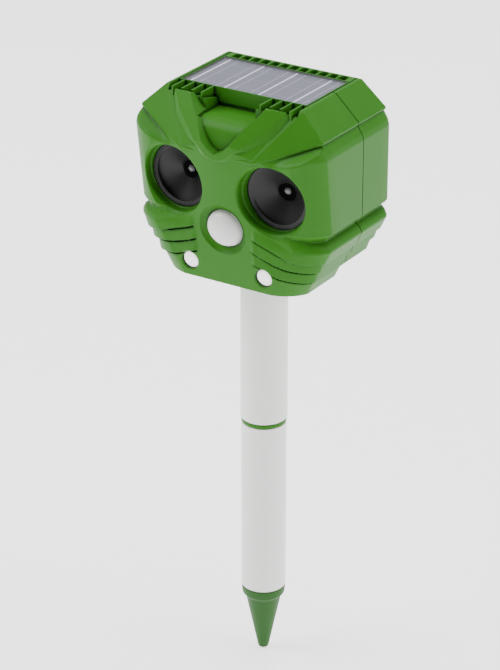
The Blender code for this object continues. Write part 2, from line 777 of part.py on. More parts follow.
def board():
    low, high = BASE + BOARD_LOW_UP, BASE + BOARD_HIGH_UP
    box("main_board", (-BOARD_HALF_X, BOARD_Y, low), (BOARD_HALF_X, BOARD_Y + BOARD_T, high), BOARD_GREEN)
    y = BOARD_Y + BOARD_T + GAP
    box("transformer", (-0.036, y, low + 0.006), (-0.022, y + 0.010, low + 0.020), BLACK)
    box("control_chip", (-0.006, y, low + 0.010), (0.008, y + 0.0024, low + 0.018), BLACK)
    disc("capacitor", 0.0050, y, y + 0.0110, (0.026, 0, low + 0.014), BLACK, steps=SMALL_ROUND)


def batteries():
    low_cell = BASE + CELL_LOW_UP
    y = HEAD_BACK - DOOR_T - WALL - CELL_IN - CELL_D / 2
    half_x = CELL_L / 2 + CONTACT_ROOM + TRAY_WALL
    front, back = y - CELL_D / 2 - GAP, y + CELL_D / 2
    low = low_cell - CELL_D / 2 - GAP
    high = low_cell + (CELL_COUNT - 1) * CELL_PITCH + CELL_D / 2 + GAP
    outer_low = (-half_x, front - TRAY_WALL, low - TRAY_WALL)
    tray = box("battery_tray", outer_low, (half_x, back, high + TRAY_WALL), BLACK)
    inner_low = (-half_x + TRAY_WALL, front, low)
    cut(tray, box("inside", inner_low, (half_x - TRAY_WALL, back + OVER, high)))
    for index in range(CELL_COUNT):
        z = low_cell + index * CELL_PITCH
        nib = CELL_L / 2
        flip = -1 if index % 2 else 1
        profile = [(0, -nib), (CELL_D / 2 - 0.0005, -nib), (CELL_D / 2, -nib + 0.0005),
                   (CELL_D / 2, nib - 0.0022), (0.0028, nib - 0.0015), (0.0028, nib), (0, nib)]
        cell = turned(f"battery_cell_{index + 1}", profile, (0, 0, 0), CELL_SLEEVE, steps=24)
        for vertex in cell.data.vertices:
            across, along, up = vertex.co
            vertex.co = (flip * along, y - flip * across, z + up)
    for side, sign in SIDES:
        x0 = CELL_L / 2 + GAP
        x1 = x0 + CONTACT_T
        xs = sorted((sign * x0, sign * x1))
        box("battery_contact_" + side, (xs[0], front + GAP, low + GAP), (xs[1], back - GAP, high - GAP),
            CAN_STEEL)


def battery_door():
    low, high = door_span()
    back = HEAD_BACK
    door = box("battery_door", (-DOOR_HALF_X, back - DOOR_T, low), (DOOR_HALF_X, back, high), GREEN)
    holes = [disc("hole", SCREW_SHANK_R + GAP, -0.01, 0.01, (x, back, z), steps=12)
             for x, z in door_screw_points()]
    holes += [disc("sink", SCREW_R + GAP, -DOOR_T / 2, 0.01, (x, back, z), steps=SMALL_ROUND)
              for x, z in door_screw_points()]
    cut(door, *holes)
    middle = (0, back - DOOR_T / 2, (low + high) / 2)
    pivot(door, middle)
    for number, (x, z) in enumerate(door_screw_points(), 1):
        screw(f"door_screw_{number}", (x, back - DOOR_T / 2 + GAP, z), SCREW_HEAD_T / 2, DOOR_SCREW_L - DOOR_T)


def door_screw_points():
    low, high = door_span()
    inset = DOOR_LAND / 2
    return [(sign * (DOOR_HALF_X - inset), (low + high) / 2) for _, sign in SIDES]


def screw(name, seat, head_t, length):
    """A pan-head screw whose head rests at seat and points towards -Y."""
    profile = [(0, head_t), (SCREW_R * 0.8, head_t), (SCREW_R, head_t * 0.5), (SCREW_R, 0),
               (SCREW_SHANK_R, 0), (SCREW_SHANK_R, -length), (0, -length - 0.001)]
    return turned(name, profile, seat, SCREW_STEEL, steps=16)


def case_screws():
    for number, (x, z) in enumerate(screw_points(), 1):
        seat = (x, HEAD_BACK - SCREW_SINK + GAP, z)
        length = HEAD_BACK - SCREW_SINK - SEAM_Y + SCREW_REACH - 0.0020
        screw(f"case_screw_{number}", seat, SCREW_HEAD_T, length)


# ---------------------------------------------------------------- controls on the back

def dial(name, switch, sign):
    axis = (sign * DIAL_X, HEAD_BACK, CONTROL_Z)
    knob = [(0, -DIAL_SEAT + GAP), (DIAL_R, -DIAL_SEAT + GAP), (DIAL_R, -0.0006), (DIAL_R - 0.0006, 0),
            (0, 0)]
    body_ = turned(name, knob, axis, BLACK, steps=32)
    size = DIAL_R - 0.0030
    slot_low = (axis[0] - DIAL_MARK / 2, HEAD_BACK - DIAL_MARK, CONTROL_Z + 0.0010)
    slot = box("pointer", slot_low, (axis[0] + DIAL_MARK / 2, HEAD_BACK + OVER, CONTROL_Z + 0.001 + size))
    pivot(cut(body_, slot), axis)
    back = -DIAL_SEAT - WALL - GAP
    can = [(0, -DIAL_SEAT), (SHAFT_R, -DIAL_SEAT), (SHAFT_R, back), (DIAL_R, back),
           (DIAL_R, back - SWITCH_L), (0, back - SWITCH_L)]
    turned(switch, list(reversed(can)), axis, BLACK, steps=24)


def power_button():
    at = (0, HEAD_BACK, CONTROL_Z)
    inside = -BUTTON_DISH - WALL - GAP
    cap = [(0, inside - BUTTON_FLANGE), (BUTTON_R + 0.0010, inside - BUTTON_FLANGE),
           (BUTTON_R + 0.0010, inside), (BUTTON_R, inside), (BUTTON_R, -0.0008),
           (BUTTON_R - 0.0008, -GAP), (0, -GAP)]
    pivot(turned("power_button", cap, at, RUBBER, steps=24), at)
    front = HEAD_BACK + inside - BUTTON_FLANGE - BUTTON_TRAVEL - GAP
    low = (-BUTTON_R, front - SWITCH_L, CONTROL_Z - BUTTON_R)
    box("button_switch", low, (BUTTON_R, front, CONTROL_Z + BUTTON_R), BLACK)


def jack_box(name, grow, y0, y1):
    low = (PORT_X - JACK_W / 2 - grow, HEAD_BACK + y0, CONTROL_Z - JACK_H / 2 - grow)
    return box(name, low, (PORT_X + JACK_W / 2 + grow, HEAD_BACK + y1, CONTROL_Z + JACK_H / 2 + grow))


def charge_port():
    jack = dress(jack_box("charge_socket", 0.0, -JACK_L - PORT_T - 2 * GAP, -PORT_T - 2 * GAP), CAN_STEEL)
    cut(jack, jack_box("mouth", -JACK_SKIN, -JACK_L - PORT_T + JACK_SKIN, OVER))
    low = CONTROL_Z - PORT_H / 2
    y = HEAD_BACK - PORT_T / 2
    radius = PORT_T / 2
    bend = [(y - radius * math.sin(a), low - radius * math.cos(a)) for a in arc(4)]
    bend = [(y + radius * math.sin(a), low - radius * math.cos(a)) for a in reversed(arc(4))] + bend[1:]
    shape = [(y - radius, low + PORT_H - GAP), (y + radius, low + PORT_H - GAP), *bend]
    flap = along_x("port_cover", shape, PORT_X - PORT_W / 2, PORT_X + PORT_W / 2, RUBBER)
    pivot(flap, (PORT_X, y, low))


# ---------------------------------------------------------------- pole

def pole():
    """Socket, tubes, ring and spike, all turned about the pole's axis."""
    inner = UPPER_TUBE_D / 2 + GAP
    roof = BASE + SOCKET_DEPTH + GAP
    cup = [(inner, BASE), (socket_outer(), BASE), (socket_outer(), roof + SOCKET_WALL),
           (0, roof + SOCKET_WALL), (0, roof), (inner, roof)]
    turned("pole_socket", cup, (0, 0, 0), GREEN, axis="Z")
    tube("upper_tube", UPPER_TUBE_D, UPPER_Z + GAP, TUBE_TOP)
    tube("lower_tube", LOWER_TUBE_D, SPIKE_RIM_Z + GAP, RING_Z - GAP)
    coupler()
    ground_spike()


def tube(name, diameter, low, high):
    ring(name, diameter / 2 - TUBE_WALL, diameter / 2, low, high, (0, 0, 0), TUBE_WHITE, axis="Z")


def coupler():
    """The ring that shows between the tubes, with a sleeve into each of them."""
    low_r = LOWER_TUBE_D / 2 - TUBE_WALL - GAP
    high_r = UPPER_TUBE_D / 2 - TUBE_WALL - GAP
    bore = low_r - COUPLER_WALL
    profile = [(bore, RING_Z - PLUG_L), (low_r, RING_Z - PLUG_L), (low_r, RING_Z), (LOWER_TUBE_D / 2, RING_Z),
               (LOWER_TUBE_D / 2, UPPER_Z), (high_r, UPPER_Z), (high_r, UPPER_Z + PLUG_L),
               (bore, UPPER_Z + PLUG_L)]
    turned("joint_ring", profile, (0, 0, 0), GREEN, axis="Z")


def ground_spike():
    rim = LOWER_TUBE_D / 2
    plug = rim - TUBE_WALL - GAP
    cone = rim * SPIKE_CONE_SHARE
    shoulder = SPIKE_RIM_Z - SPIKE_RIM_H
    tip = SPIKE_TIP_D / 2
    profile = [(0, 0), (tip * 0.72, 0), (tip, 0.0010), (cone, shoulder - 0.0022), (rim * 0.95, shoulder),
               (rim, SPIKE_RIM_Z), (plug, SPIKE_RIM_Z), (plug, SPIKE_RIM_Z + PLUG_L),
               (plug - COUPLER_WALL, SPIKE_RIM_Z + PLUG_L), (plug - COUPLER_WALL, SPIKE_RIM_Z), (0, SPIKE_RIM_Z)]
    turned("ground_spike", profile, (0, 0, 0), DARK_GREEN, axis="Z")


def build():
    front_shell()
    rear_shell()
    panel_frame()
    solar_panel()
    for side, sign in SIDES:
        speaker(side, sign)
        lamp(side, sign)
    sensor()
    board()
    batteries()
    battery_door()
    case_screws()
    dial("frequency_dial", "frequency_switch", -1)
    dial("sensitivity_dial", "sensitivity_switch", 1)
    power_button()
    charge_port()
    pole()


clear_scene()
build()
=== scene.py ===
# %% [markdown]
# # A solar pest repeller on a ground stake
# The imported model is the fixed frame: it says where every piece sits and what moves. This script only adds
# the looks round it. Shapes are drawn in millimetres, as on a workshop drawing, and are turned into metres
# once, when a piece is finished.

# %% Load the frame
import math

import bmesh
import bpy
import numpy as np
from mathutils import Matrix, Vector


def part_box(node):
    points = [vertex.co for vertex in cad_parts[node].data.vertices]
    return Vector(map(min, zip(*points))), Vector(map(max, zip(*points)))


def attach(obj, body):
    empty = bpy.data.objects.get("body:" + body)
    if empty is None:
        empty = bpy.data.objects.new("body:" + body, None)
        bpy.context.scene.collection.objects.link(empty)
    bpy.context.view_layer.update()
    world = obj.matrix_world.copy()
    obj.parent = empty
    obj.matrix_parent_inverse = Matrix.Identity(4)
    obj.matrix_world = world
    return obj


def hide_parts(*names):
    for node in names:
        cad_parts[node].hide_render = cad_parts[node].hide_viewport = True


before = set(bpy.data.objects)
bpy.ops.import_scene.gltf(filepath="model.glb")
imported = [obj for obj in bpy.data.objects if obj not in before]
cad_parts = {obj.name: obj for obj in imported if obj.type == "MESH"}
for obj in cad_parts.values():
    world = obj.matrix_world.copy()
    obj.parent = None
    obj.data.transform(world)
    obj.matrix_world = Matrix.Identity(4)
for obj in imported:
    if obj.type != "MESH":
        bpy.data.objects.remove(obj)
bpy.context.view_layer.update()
MM = 0.001


def span(node):
    """Lowest and highest corner of a node of the frame, in millimetres."""
    low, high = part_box(node)
    return low / MM, high / MM


BASE = span("front_shell")[0].z
TOP = span("front_shell")[1].z
HALF = span("front_shell")[1].x
BACK = span("rear_shell")[1].y
SEAM = (span("front_shell")[1].y + span("rear_shell")[0].y) / 2
GAP = 0.3
print(f"head {2 * HALF:.1f} mm wide, from {BASE:.1f} to {TOP:.1f} mm up, back at {BACK:.1f} mm")

# %% [markdown]
# ## Camera
# A long lens from the front and a little above shows the face, the right side and the top together. The
# camera is aimed with a direction, so that only its place and the point it looks at are chosen.

# %% Camera
CAMERA_PLACE = Vector((0.7337, -1.1718, 0.8711))
CAMERA_AIM = Vector((-0.00715, -0.00454, 0.21759))
camera = bpy.data.objects.new("camera", bpy.data.cameras.new("camera"))
bpy.context.scene.collection.objects.link(camera)
camera.data.lens = 137.35
camera.data.sensor_width = 36.0
camera.location = CAMERA_PLACE
camera.rotation_euler = (CAMERA_AIM - CAMERA_PLACE).to_track_quat("-Z", "Y").to_euler()
bpy.context.scene.camera = camera
print(f"camera {(CAMERA_AIM - CAMERA_PLACE).length:.2f} m away")

# %% [markdown]
# ## Shader expressions
# A node tree is easier to read as arithmetic. `Value` wraps an output socket, and each operator adds the
# Math node that it stands for. `Nodes` adds any other node from its type, its settings and its sockets.

# %% Shader expressions


class Value:
    """An output socket that can be used in Python arithmetic."""

    def __init__(self, nodes, socket):
        self.nodes = nodes
        self.socket = socket

    def math(self, operation, first, second):
        node = self.nodes.add("ShaderNodeMath", {"operation": operation}, {0: first, 1: second})
        return Value(self.nodes, node.outputs[0])

    def __add__(self, other):
        return self.math("ADD", self, other)

    def __sub__(self, other):
        return self.math("SUBTRACT", self, other)

    def __rsub__(self, other):
        return self.math("SUBTRACT", other, self)

    def __mul__(self, other):
        return self.math("MULTIPLY", self, other)

    def above(self, limit):
        return self.math("GREATER_THAN", self, limit)

    def below(self, limit):
        return self.math("LESS_THAN", self, limit)

    __radd__ = __add__
    __rmul__ = __mul__


class Nodes:
    """Adds nodes to one tree."""

    def __init__(self, tree):
        self.tree = tree

    def add(self, kind, settings=None, values=None):
        node = self.tree.nodes.new(kind)
        for name, setting in (settings or {}).items():
            setattr(node, name, setting)
        for name, value in (values or {}).items():
            self.feed(node.inputs[name], value)
        return node

    def feed(self, socket, value):
        if isinstance(value, Value):
            self.tree.links.new(value.socket, socket)
        elif isinstance(value, bpy.types.NodeSocket):
            self.tree.links.new(value, socket)
        else:
            socket.default_value = value

    def value(self, kind, output, settings=None, values=None):
        return Value(self, self.add(kind, settings, values).outputs[output])


print("Value and Nodes are ready")

# %% [markdown]
# ## Floor, backdrop and light
# Moulded plastic is told apart by what it reflects. A wide pale floor that glows a little and three large
# soft lamps light the upper and side faces, and the room is kept darker on the camera's side, so the faces
# that look at it stay deep green.

# %% Floor and light
FLOOR_HALF = 6.0


def shade_floor():
    paint = bpy.data.materials.new("studio_floor")
    paint.use_nodes = True
    nodes = Nodes(paint.node_tree)
    shader = paint.node_tree.nodes["Principled BSDF"]
    place = nodes.value("ShaderNodeTexCoord", "Object")
    cloud = nodes.value("ShaderNodeTexNoise", "Fac", {}, {"Vector": place, "Scale": 3.0})
    nodes.feed(shader.inputs["Roughness"], 0.55 + 0.1 * cloud)
    shader.inputs["Base Color"].default_value = (0.94, 0.94, 0.94, 1.0)
    shader.inputs["Emission Color"].default_value = (1.0, 1.0, 1.0, 1.0)
    shader.inputs["Emission Strength"].default_value = 1.3
    return paint


def soft_lamp(name, place, power, size, aim=(0.0, 0.0, 0.25)):
    lamp = bpy.data.objects.new(name, bpy.data.lights.new(name, "AREA"))
    lamp.data.energy = power
    lamp.data.size = size
    lamp.location = place
    lamp.rotation_euler = (Vector(aim) - Vector(place)).to_track_quat("-Z", "Y").to_euler()
    bpy.context.scene.collection.objects.link(lamp)
    return lamp


floor_mesh = bpy.data.meshes.new("floor")
floor_corners = [(-FLOOR_HALF, -FLOOR_HALF, 0), (FLOOR_HALF, -FLOOR_HALF, 0)]
floor_corners += [(FLOOR_HALF, FLOOR_HALF, 0), (-FLOOR_HALF, FLOOR_HALF, 0)]
floor_mesh.from_pydata(floor_corners, [], [(0, 1, 2, 3)])
floor_mesh.materials.append(shade_floor())
floor = bpy.data.objects.new("floor", floor_mesh)
bpy.context.scene.collection.objects.link(floor)
floor.location.z = -0.0006
lamps = [
    soft_lamp("key_left", (-1.5, -0.9, 1.9), 46.0, 1.3),
    soft_lamp("fill_right", (1.9, 0.5, 1.3), 18.0, 1.2),
    soft_lamp("top", (0.1, 0.5, 2.4), 46.0, 1.8),
]


def shade_room():
    """Bright overhead and behind the object, dim on the camera's side."""
    room = bpy.data.worlds.new("room")
    room.use_nodes = True
    bpy.context.scene.world = room
    nodes = Nodes(room.node_tree)
    way = nodes.add("ShaderNodeTexCoord").outputs["Generated"]
    towards = nodes.value("ShaderNodeVectorMath", "Value", {"operation": "DOT_PRODUCT"},
                          {0: way, 1: (0.50, -0.84, 0.10)})
    facing = nodes.value("ShaderNodeMapRange", "Result", {"interpolation_type": "SMOOTHSTEP"},
                         {"Value": towards, "From Min": 0.1, "From Max": 0.85})
    back = room.node_tree.nodes["Background"]
    nodes.feed(back.inputs["Strength"], 0.80 - 0.52 * facing)
    back.inputs["Color"].default_value = (1.0, 1.0, 1.0, 1.0)


shade_room()
print(f"{len(lamps)} soft lamps over a {2 * FLOOR_HALF:.0f} m floor")

# %% [markdown]
# ## Moulded plastic
# The case is a satin green plastic with a very fine grain. Four things make it read as moulded: a slight
# drift of tone over a few centimetres, a fine grain in the bump, edges that are never quite sharp, and
# painted shade, an occlusion node darkening the colour in creases where little light gets in. The Bevel node
# gives every cut edge its small radius, which a mesh bevel can't do on cut shapes this fine.

# %% Moulded plastic


def blend_colour(nodes, share, first, second):
    mixer = nodes.add("ShaderNodeMix", {"data_type": "RGBA"})
    nodes.feed(mixer.inputs[0], share)
    nodes.feed(mixer.inputs[6], first if not isinstance(first, tuple) else (*first, 1.0))
    nodes.feed(mixer.inputs[7], second if not isinstance(second, tuple) else (*second, 1.0))
    return mixer.outputs[2]


def start_material(name):
    mat = bpy.data.materials.new(name)
    mat.use_nodes = True
    nodes = Nodes(mat.node_tree)
    shader = mat.node_tree.nodes["Principled BSDF"]
    place = nodes.value("ShaderNodeTexCoord", "Object")
    return mat, nodes, shader, place


def noise(nodes, place, per_metre, detail=2.0):
    values = {"Vector": place, "Scale": per_metre, "Detail": detail}
    return nodes.value("ShaderNodeTexNoise", "Fac", {}, values)


# Painted shade in creases: the occlusion limits between which it fades in, and how dark it gets as a share of
# the dark tone.
SHADE_SHUT, SHADE_OPEN, PAINTED_SHADE_TONE = 0.45, 0.95, 0.18


def moulded(name, dark, light, roughness, grain=0.12, radius=0.5, crease_shade=0.0, specular=0.5):
    """A moulded plastic between two tones. radius rounds its edges and crease paints shade into its grooves,
    both in mm.
    """
    mat, nodes, shader, place = start_material(name)
    drift = noise(nodes, place, 38.0, 3.0)
    fine = noise(nodes, place, 2600.0, 2.0)
    tone = blend_colour(nodes, drift, dark, light)
    if crease_shade:
        # Painted shade: an ambient occlusion node darkens the base colour in grooves and creases, where
        # little light gets in.
        open_sky = nodes.value("ShaderNodeAmbientOcclusion", "AO", {"samples": 8}, {"Distance": crease_shade * MM})
        lit = nodes.value("ShaderNodeMapRange", "Result", {},
                          {"Value": open_sky, "From Min": SHADE_SHUT, "From Max": SHADE_OPEN})
        tone = blend_colour(nodes, lit, tuple(channel * PAINTED_SHADE_TONE for channel in dark), tone)
    nodes.feed(shader.inputs["Base Color"], tone)
    nodes.feed(shader.inputs["Roughness"], roughness - 0.05 + 0.06 * drift + 0.05 * fine)
    edge = nodes.add("ShaderNodeBevel", {"samples": 4}, {"Radius": radius * MM}).outputs[0]
    bump = nodes.value("ShaderNodeBump", "Normal", {},
                       {"Strength": grain, "Distance": 0.0001, "Height": fine, "Normal": edge})
    nodes.feed(shader.inputs["Normal"], bump)
    shader.inputs["Specular IOR Level"].default_value = specular
    return mat


# The case and the spike get painted shade in their creases, within 2.2 mm on the case and 2.0 mm on the
# spike.
CASE_GREEN = moulded("case_green", (0.023, 0.134, 0.005), (0.029, 0.154, 0.008), 0.42, 0.16, 0.6, 2.2, 0.14)
SPIKE_GREEN = moulded("spike_plastic", (0.020, 0.084, 0.012), (0.028, 0.104, 0.018),
                      0.48, 0.2, 0.5, 2.0, 0.15)
HORN_GREY = moulded("horn_grey", (0.010, 0.009, 0.010), (0.014, 0.013, 0.014), 0.42, specular=0.3)
PLUG_GREY = moulded("plug_plastic", (0.20, 0.20, 0.21), (0.26, 0.26, 0.27), 0.28, 0.05, 0.3)
TUBE_WHITE = moulded("tube_plastic", (0.80, 0.785, 0.765), (0.85, 0.835, 0.82), 0.40, 0.08, 0.4)
BLACK = moulded("black_plastic", (0.016, 0.016, 0.017), (0.022, 0.022, 0.023), 0.42, 0.2, 0.4)
# Painted shade: darker than any black plastic, for the speaker drivers, so that the deep throats in front of
# them read as shaded.
THROAT_SHADE_BLACK = moulded("throat_painted_shade", (0.002, 0.002, 0.002), (0.003, 0.003, 0.003), 0.85, specular=0.05)
RUBBER = moulded("soft_rubber", (0.014, 0.014, 0.015), (0.024, 0.024, 0.025), 0.68, 0.4, 0.4)
SLEEVE = moulded("cell_sleeve", (0.07, 0.22, 0.10), (0.09, 0.26, 0.12), 0.30, 0.05, 0.3)
BOARD = moulded("circuit_board", (0.012, 0.085, 0.040), (0.020, 0.11, 0.055), 0.40, 0.2, 0.2)
print("moulded plastics are ready")

# %% [markdown]
# ## Lens, lamps and metal
# The sensor's dome is a milky pearl plastic that lets a little light through its thickness, with a faint
# painted glow from emission as well, though it is no lamp; the lamps are a glossy white, faintly lit. Metal
# parts are plain turned or pressed steel.

# %% Lens, lamps and metal


def pearly(name, colour, roughness, lamp_and_painted_glow):
    mat, nodes, shader, place = start_material(name)
    drift = noise(nodes, place, 120.0)
    darker = tuple(channel * 0.96 for channel in colour)
    nodes.feed(shader.inputs["Base Color"], blend_colour(nodes, drift, darker, colour))
    nodes.feed(shader.inputs["Roughness"], roughness + 0.04 * drift)
    shader.inputs["Subsurface Weight"].default_value = 0.12
    shader.inputs["Subsurface Scale"].default_value = 0.002
    # Emission paints a glow on the part: painted light on the sensor dome, which is no lamp, and the lamp
    # caps' own light.
    shader.inputs["Emission Color"].default_value = (*colour, 1.0)
    shader.inputs["Emission Strength"].default_value = lamp_and_painted_glow
    return mat


def steel(name, colour, roughness):
    mat, nodes, shader, place = start_material(name)
    streak = noise(nodes, place, 900.0, 3.0)
    darker = tuple(channel * 0.85 for channel in colour)
    nodes.feed(shader.inputs["Base Color"], blend_colour(nodes, streak, darker, colour))
    nodes.feed(shader.inputs["Roughness"], roughness + 0.15 * streak)
    shader.inputs["Metallic"].default_value = 1.0
    return mat


# Painted light: the dome's small emission is a painted glow.
PEARL = pearly("dome_pearl", (0.72, 0.70, 0.69), 0.30, 0.06)
LAMP_WHITE = pearly("lamp_white", (0.92, 0.92, 0.91), 0.22, 0.9)
CAN_STEEL = steel("pressed_steel", (0.62, 0.62, 0.63), 0.26)
SCREW_STEEL = steel("screw_steel", (0.55, 0.55, 0.57), 0.28)
print("lens, lamps and metal are ready")

# %% [markdown]
# ## Solar cells
# The cells are dark blue-grey, with thick silver lines from front to back, two thinner ones between each pair
# and faint ones from left to right. They are flat, so the pattern is drawn from the distance to the nearest
# line, and the thick lines are a little smoother than the cell between them.

# %% Solar cells
CELL_PITCH = 22.9
CELL_START = -37.6


def near_line(nodes, along, start, pitch, half_width):
    """1 on lines that repeat every pitch, 0 between them. All in metres."""
    shifted = along + (pitch / 2 - start)
    wrapped = nodes.value("ShaderNodeMath", "Value", {"operation": "WRAP"}, {0: shifted, 1: pitch, 2: 0.0})
    distance = nodes.value("ShaderNodeMath", "Value", {"operation": "ABSOLUTE"}, {0: wrapped - pitch / 2})
    return distance.below(half_width)


def solar_cells():
    mat, nodes, shader, place = start_material("solar_cells")
    axes = nodes.add("ShaderNodeSeparateXYZ", {}, {0: place})
    across, along = Value(nodes, axes.outputs[0]), Value(nodes, axes.outputs[1])
    thick = near_line(nodes, across, CELL_START * MM, CELL_PITCH * MM, 0.55 * MM)
    thin = near_line(nodes, across, (CELL_START + CELL_PITCH / 4) * MM, CELL_PITCH / 2 * MM, 0.30 * MM)
    row = near_line(nodes, along, 0.0, 15.0 * MM, 0.25 * MM)
    patch = noise(nodes, place, 160.0, 4.0)
    cell = blend_colour(nodes, patch, (0.050, 0.052, 0.088), (0.080, 0.083, 0.130))
    with_rows = blend_colour(nodes, 0.4 * row, cell, (0.22, 0.22, 0.30))
    with_thin = blend_colour(nodes, 0.5 * thin, with_rows, (0.36, 0.35, 0.46))
    nodes.feed(shader.inputs["Base Color"], blend_colour(nodes, thick, with_thin, (0.62, 0.59, 0.74)))
    nodes.feed(shader.inputs["Roughness"], 0.34 - 0.08 * thick + 0.06 * patch)
    return mat


def clear_window():
    mat, nodes, shader, place = start_material("clear_window")
    haze = noise(nodes, place, 60.0)
    nodes.feed(shader.inputs["Roughness"], 0.05 + 0.06 * haze)
    shader.inputs["Base Color"].default_value = (0.92, 0.93, 0.97, 1.0)
    shader.inputs["Alpha"].default_value = 0.05
    shader.inputs["IOR"].default_value = 1.30
    return mat


CELLS = solar_cells()
WINDOW = clear_window()
print("solar cells are ready")

# %% [markdown]
# ## Shapes
# Four ways of making a solid cover nearly every piece: stacked outlines, a turned profile, a block, and a
# rounded hull. The rounded hull moves each corner in by the radius, puts a small ball there and wraps them
# all, so a faceted hood gets the even radius that a mould gives it.

# %% Shapes


def new_object(name, bm):
    bmesh.ops.recalc_face_normals(bm, faces=bm.faces)
    mesh = bpy.data.meshes.new(name)
    bm.to_mesh(mesh)
    bm.free()
    obj = bpy.data.objects.new(name, mesh)
    bpy.context.scene.collection.objects.link(obj)
    return obj


def stack(name, sections):
    """Closed outlines of equal length, joined and capped."""
    bm = bmesh.new()
    rings = [[bm.verts.new(point) for point in section] for section in sections]
    count = len(rings[0])
    for low, high in zip(rings, rings[1:]):
        for i in range(count):
            j = (i + 1) % count
            bm.faces.new((low[i], low[j], high[j], high[i]))
    bm.faces.new(reversed(rings[0]))
    bm.faces.new(rings[-1])
    return new_object(name, bm)


def block(low, high):
    (x0, y0, z0), (x1, y1, z1) = low, high
    plan = ((x0, y0), (x1, y0), (x1, y1), (x0, y1))
    return stack("block", [[(x, y, z) for x, y in plan] for z in (z0, z1)])


def along_x(outline, x0, x1):
    return stack("bar", [[(x, y, z) for y, z in outline] for x in (x0, x1)])


def turned(name, profile, centre, axis="Y", steps=96):
    """A closed profile of (radius, distance along the axis), turned about the axis through centre."""
    bm = bmesh.new()
    rings = []
    for radius, along in profile:
        ring = []
        for i in range(steps if radius > 0 else 1):
            turn = 2 * math.pi * i / steps
            across, up = radius * math.cos(turn), radius * math.sin(turn)
            point = (across, up, along) if axis == "Z" else (across, along, up)
            ring.append(bm.verts.new(Vector(centre) + Vector(point)))
        rings.append(ring)
    for first, second in zip(rings, rings[1:] + rings[:1]):
        if len(first) == len(second) == 1:
            continue
        for i in range(steps):
            j = (i + 1) % steps
            corners = [first[i % len(first)], first[j % len(first)]]
            corners += [second[j % len(second)], second[i % len(second)]]
            bm.faces.new(list(dict.fromkeys(corners)))
    return new_object(name, bm)


def wrap(points):
    """The tightest convex solid round the points, as a new mesh in the making."""
    bm = bmesh.new()
    for point in points:
        bm.verts.new(point)
    bmesh.ops.convex_hull(bm, input=bm.verts)
    loose = [v for v in bm.verts if not v.link_faces]
    bmesh.ops.delete(bm, geom=loose, context="VERTS")
    bm.normal_update()
    return bm


def ball_points(radius):
    bm = bmesh.new()
    bmesh.ops.create_icosphere(bm, subdivisions=2, radius=radius)
    points = [v.co.copy() for v in bm.verts]
    bm.free()
    return points


def rounded_hull(name, points, radius):
    """A convex solid whose flat faces stay in place and whose edges have the radius."""
    bm = wrap(points)
    ball = ball_points(radius)
    cloud = []
    for corner in bm.verts:
        normals = np.array([face.normal for face in corner.link_faces])
        inward = np.linalg.lstsq(normals, -radius * np.ones(len(normals)), rcond=0.05)[0]
        if np.linalg.norm(inward) > 3 * radius:
            inward *= 3 * radius / np.linalg.norm(inward)
        centre = corner.co + Vector(inward)
        cloud += [centre + point for point in ball]
    bm.free()
    return new_object(name, wrap(cloud))


def both_sides(points):
    return [(sign * x, y, z) for x, y, z in points for sign in (-1, 1)]


def keep_result(obj):
    """Makes the modifiers' result the object's own mesh."""
    graph = bpy.context.evaluated_depsgraph_get()
    mesh = bpy.data.meshes.new_from_object(obj.evaluated_get(graph))
    obj.modifiers.clear()
    obj.data = mesh
    return obj


def carve(obj, cutters, operation="DIFFERENCE"):
    """Cuts each cutter from obj, or adds it. The manifold solver is quick and leaves no open edge."""
    for cutter in cutters:
        modifier = obj.modifiers.new("carve", "BOOLEAN")
        modifier.operation = operation
        modifier.solver = "MANIFOLD"
        modifier.object = cutter
    keep_result(obj)
    for cutter in cutters:
        bpy.data.objects.remove(cutter, do_unlink=True)
    return obj


def finish_piece(obj, mat, body, nodes, sharp=32.0):
    """Metres, material, smooth faces between sharp edges, and the body that the piece moves with."""
    for vertex in obj.data.vertices:
        vertex.co *= MM
    obj.data.materials.clear()
    obj.data.materials.append(mat)
    obj.data.shade_smooth()
    obj.data.set_sharp_from_angle(angle=math.radians(sharp))
    weights = obj.modifiers.new("even_shading", "WEIGHTED_NORMAL")
    weights.keep_sharp = True
    keep_result(obj)
    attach(obj, body)
    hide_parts(*nodes)
    obj.data.calc_loop_triangles()
    print(f"{obj.name}: {len(obj.data.loop_triangles)} triangles")
    return obj


# %% [markdown]
# ## The case's outer surface
# The head is a lofted box: at each height it has a flat leaning face, deep soft front corners and straight
# sides. Three clapboard lines, each a raised edge over a small groove, start beside the sensor and run over
# the lower face, round the corners and along the sides. Under the hood the face draws back into a cove. All
# of it follows from rules on height and width, so the loft is made of many thin rows and each point is moved
# by those rules.

# %% Outline of one row
FACE_LEAN = 0.1372
FACE_FOOT = -40.2
CORNER = (17.0, 13.0)
REAR_CORNER = 7.0
SIDE_PROFILE = [
    (0.0, HALF - 17.6), (9.2, HALF - 13.0), (16.7, HALF - 8.9), (23.3, HALF - 5.2), (30.6, HALF - 0.2),
    (32.0, HALF - 0.2), (34.4, HALF - 1.4),
    (36.6, HALF - 3.2), (38.6, HALF - 3.0), (40.6, HALF - 1.0), (41.9, HALF), (88.0, HALF),
    (91.0, HALF - 1.0), (93.6, HALF - 2.6), (98.0, HALF - 5.2),
]


def face_y(z):
    return FACE_FOOT - FACE_LEAN * (z - BASE)


def back_y(z):
    return BACK - 0.16 * max(0.0, BASE + 26.0 - z)


def curve(start, control, end, steps):
    """Points on a soft corner, without its last one."""
    points = []
    for i in range(steps):
        t = i / steps
        points.append(tuple(
            (1 - t) ** 2 * a + 2 * t * (1 - t) * b + t * t * c for a, b, c in zip(start, control, end)
        ))
    return points


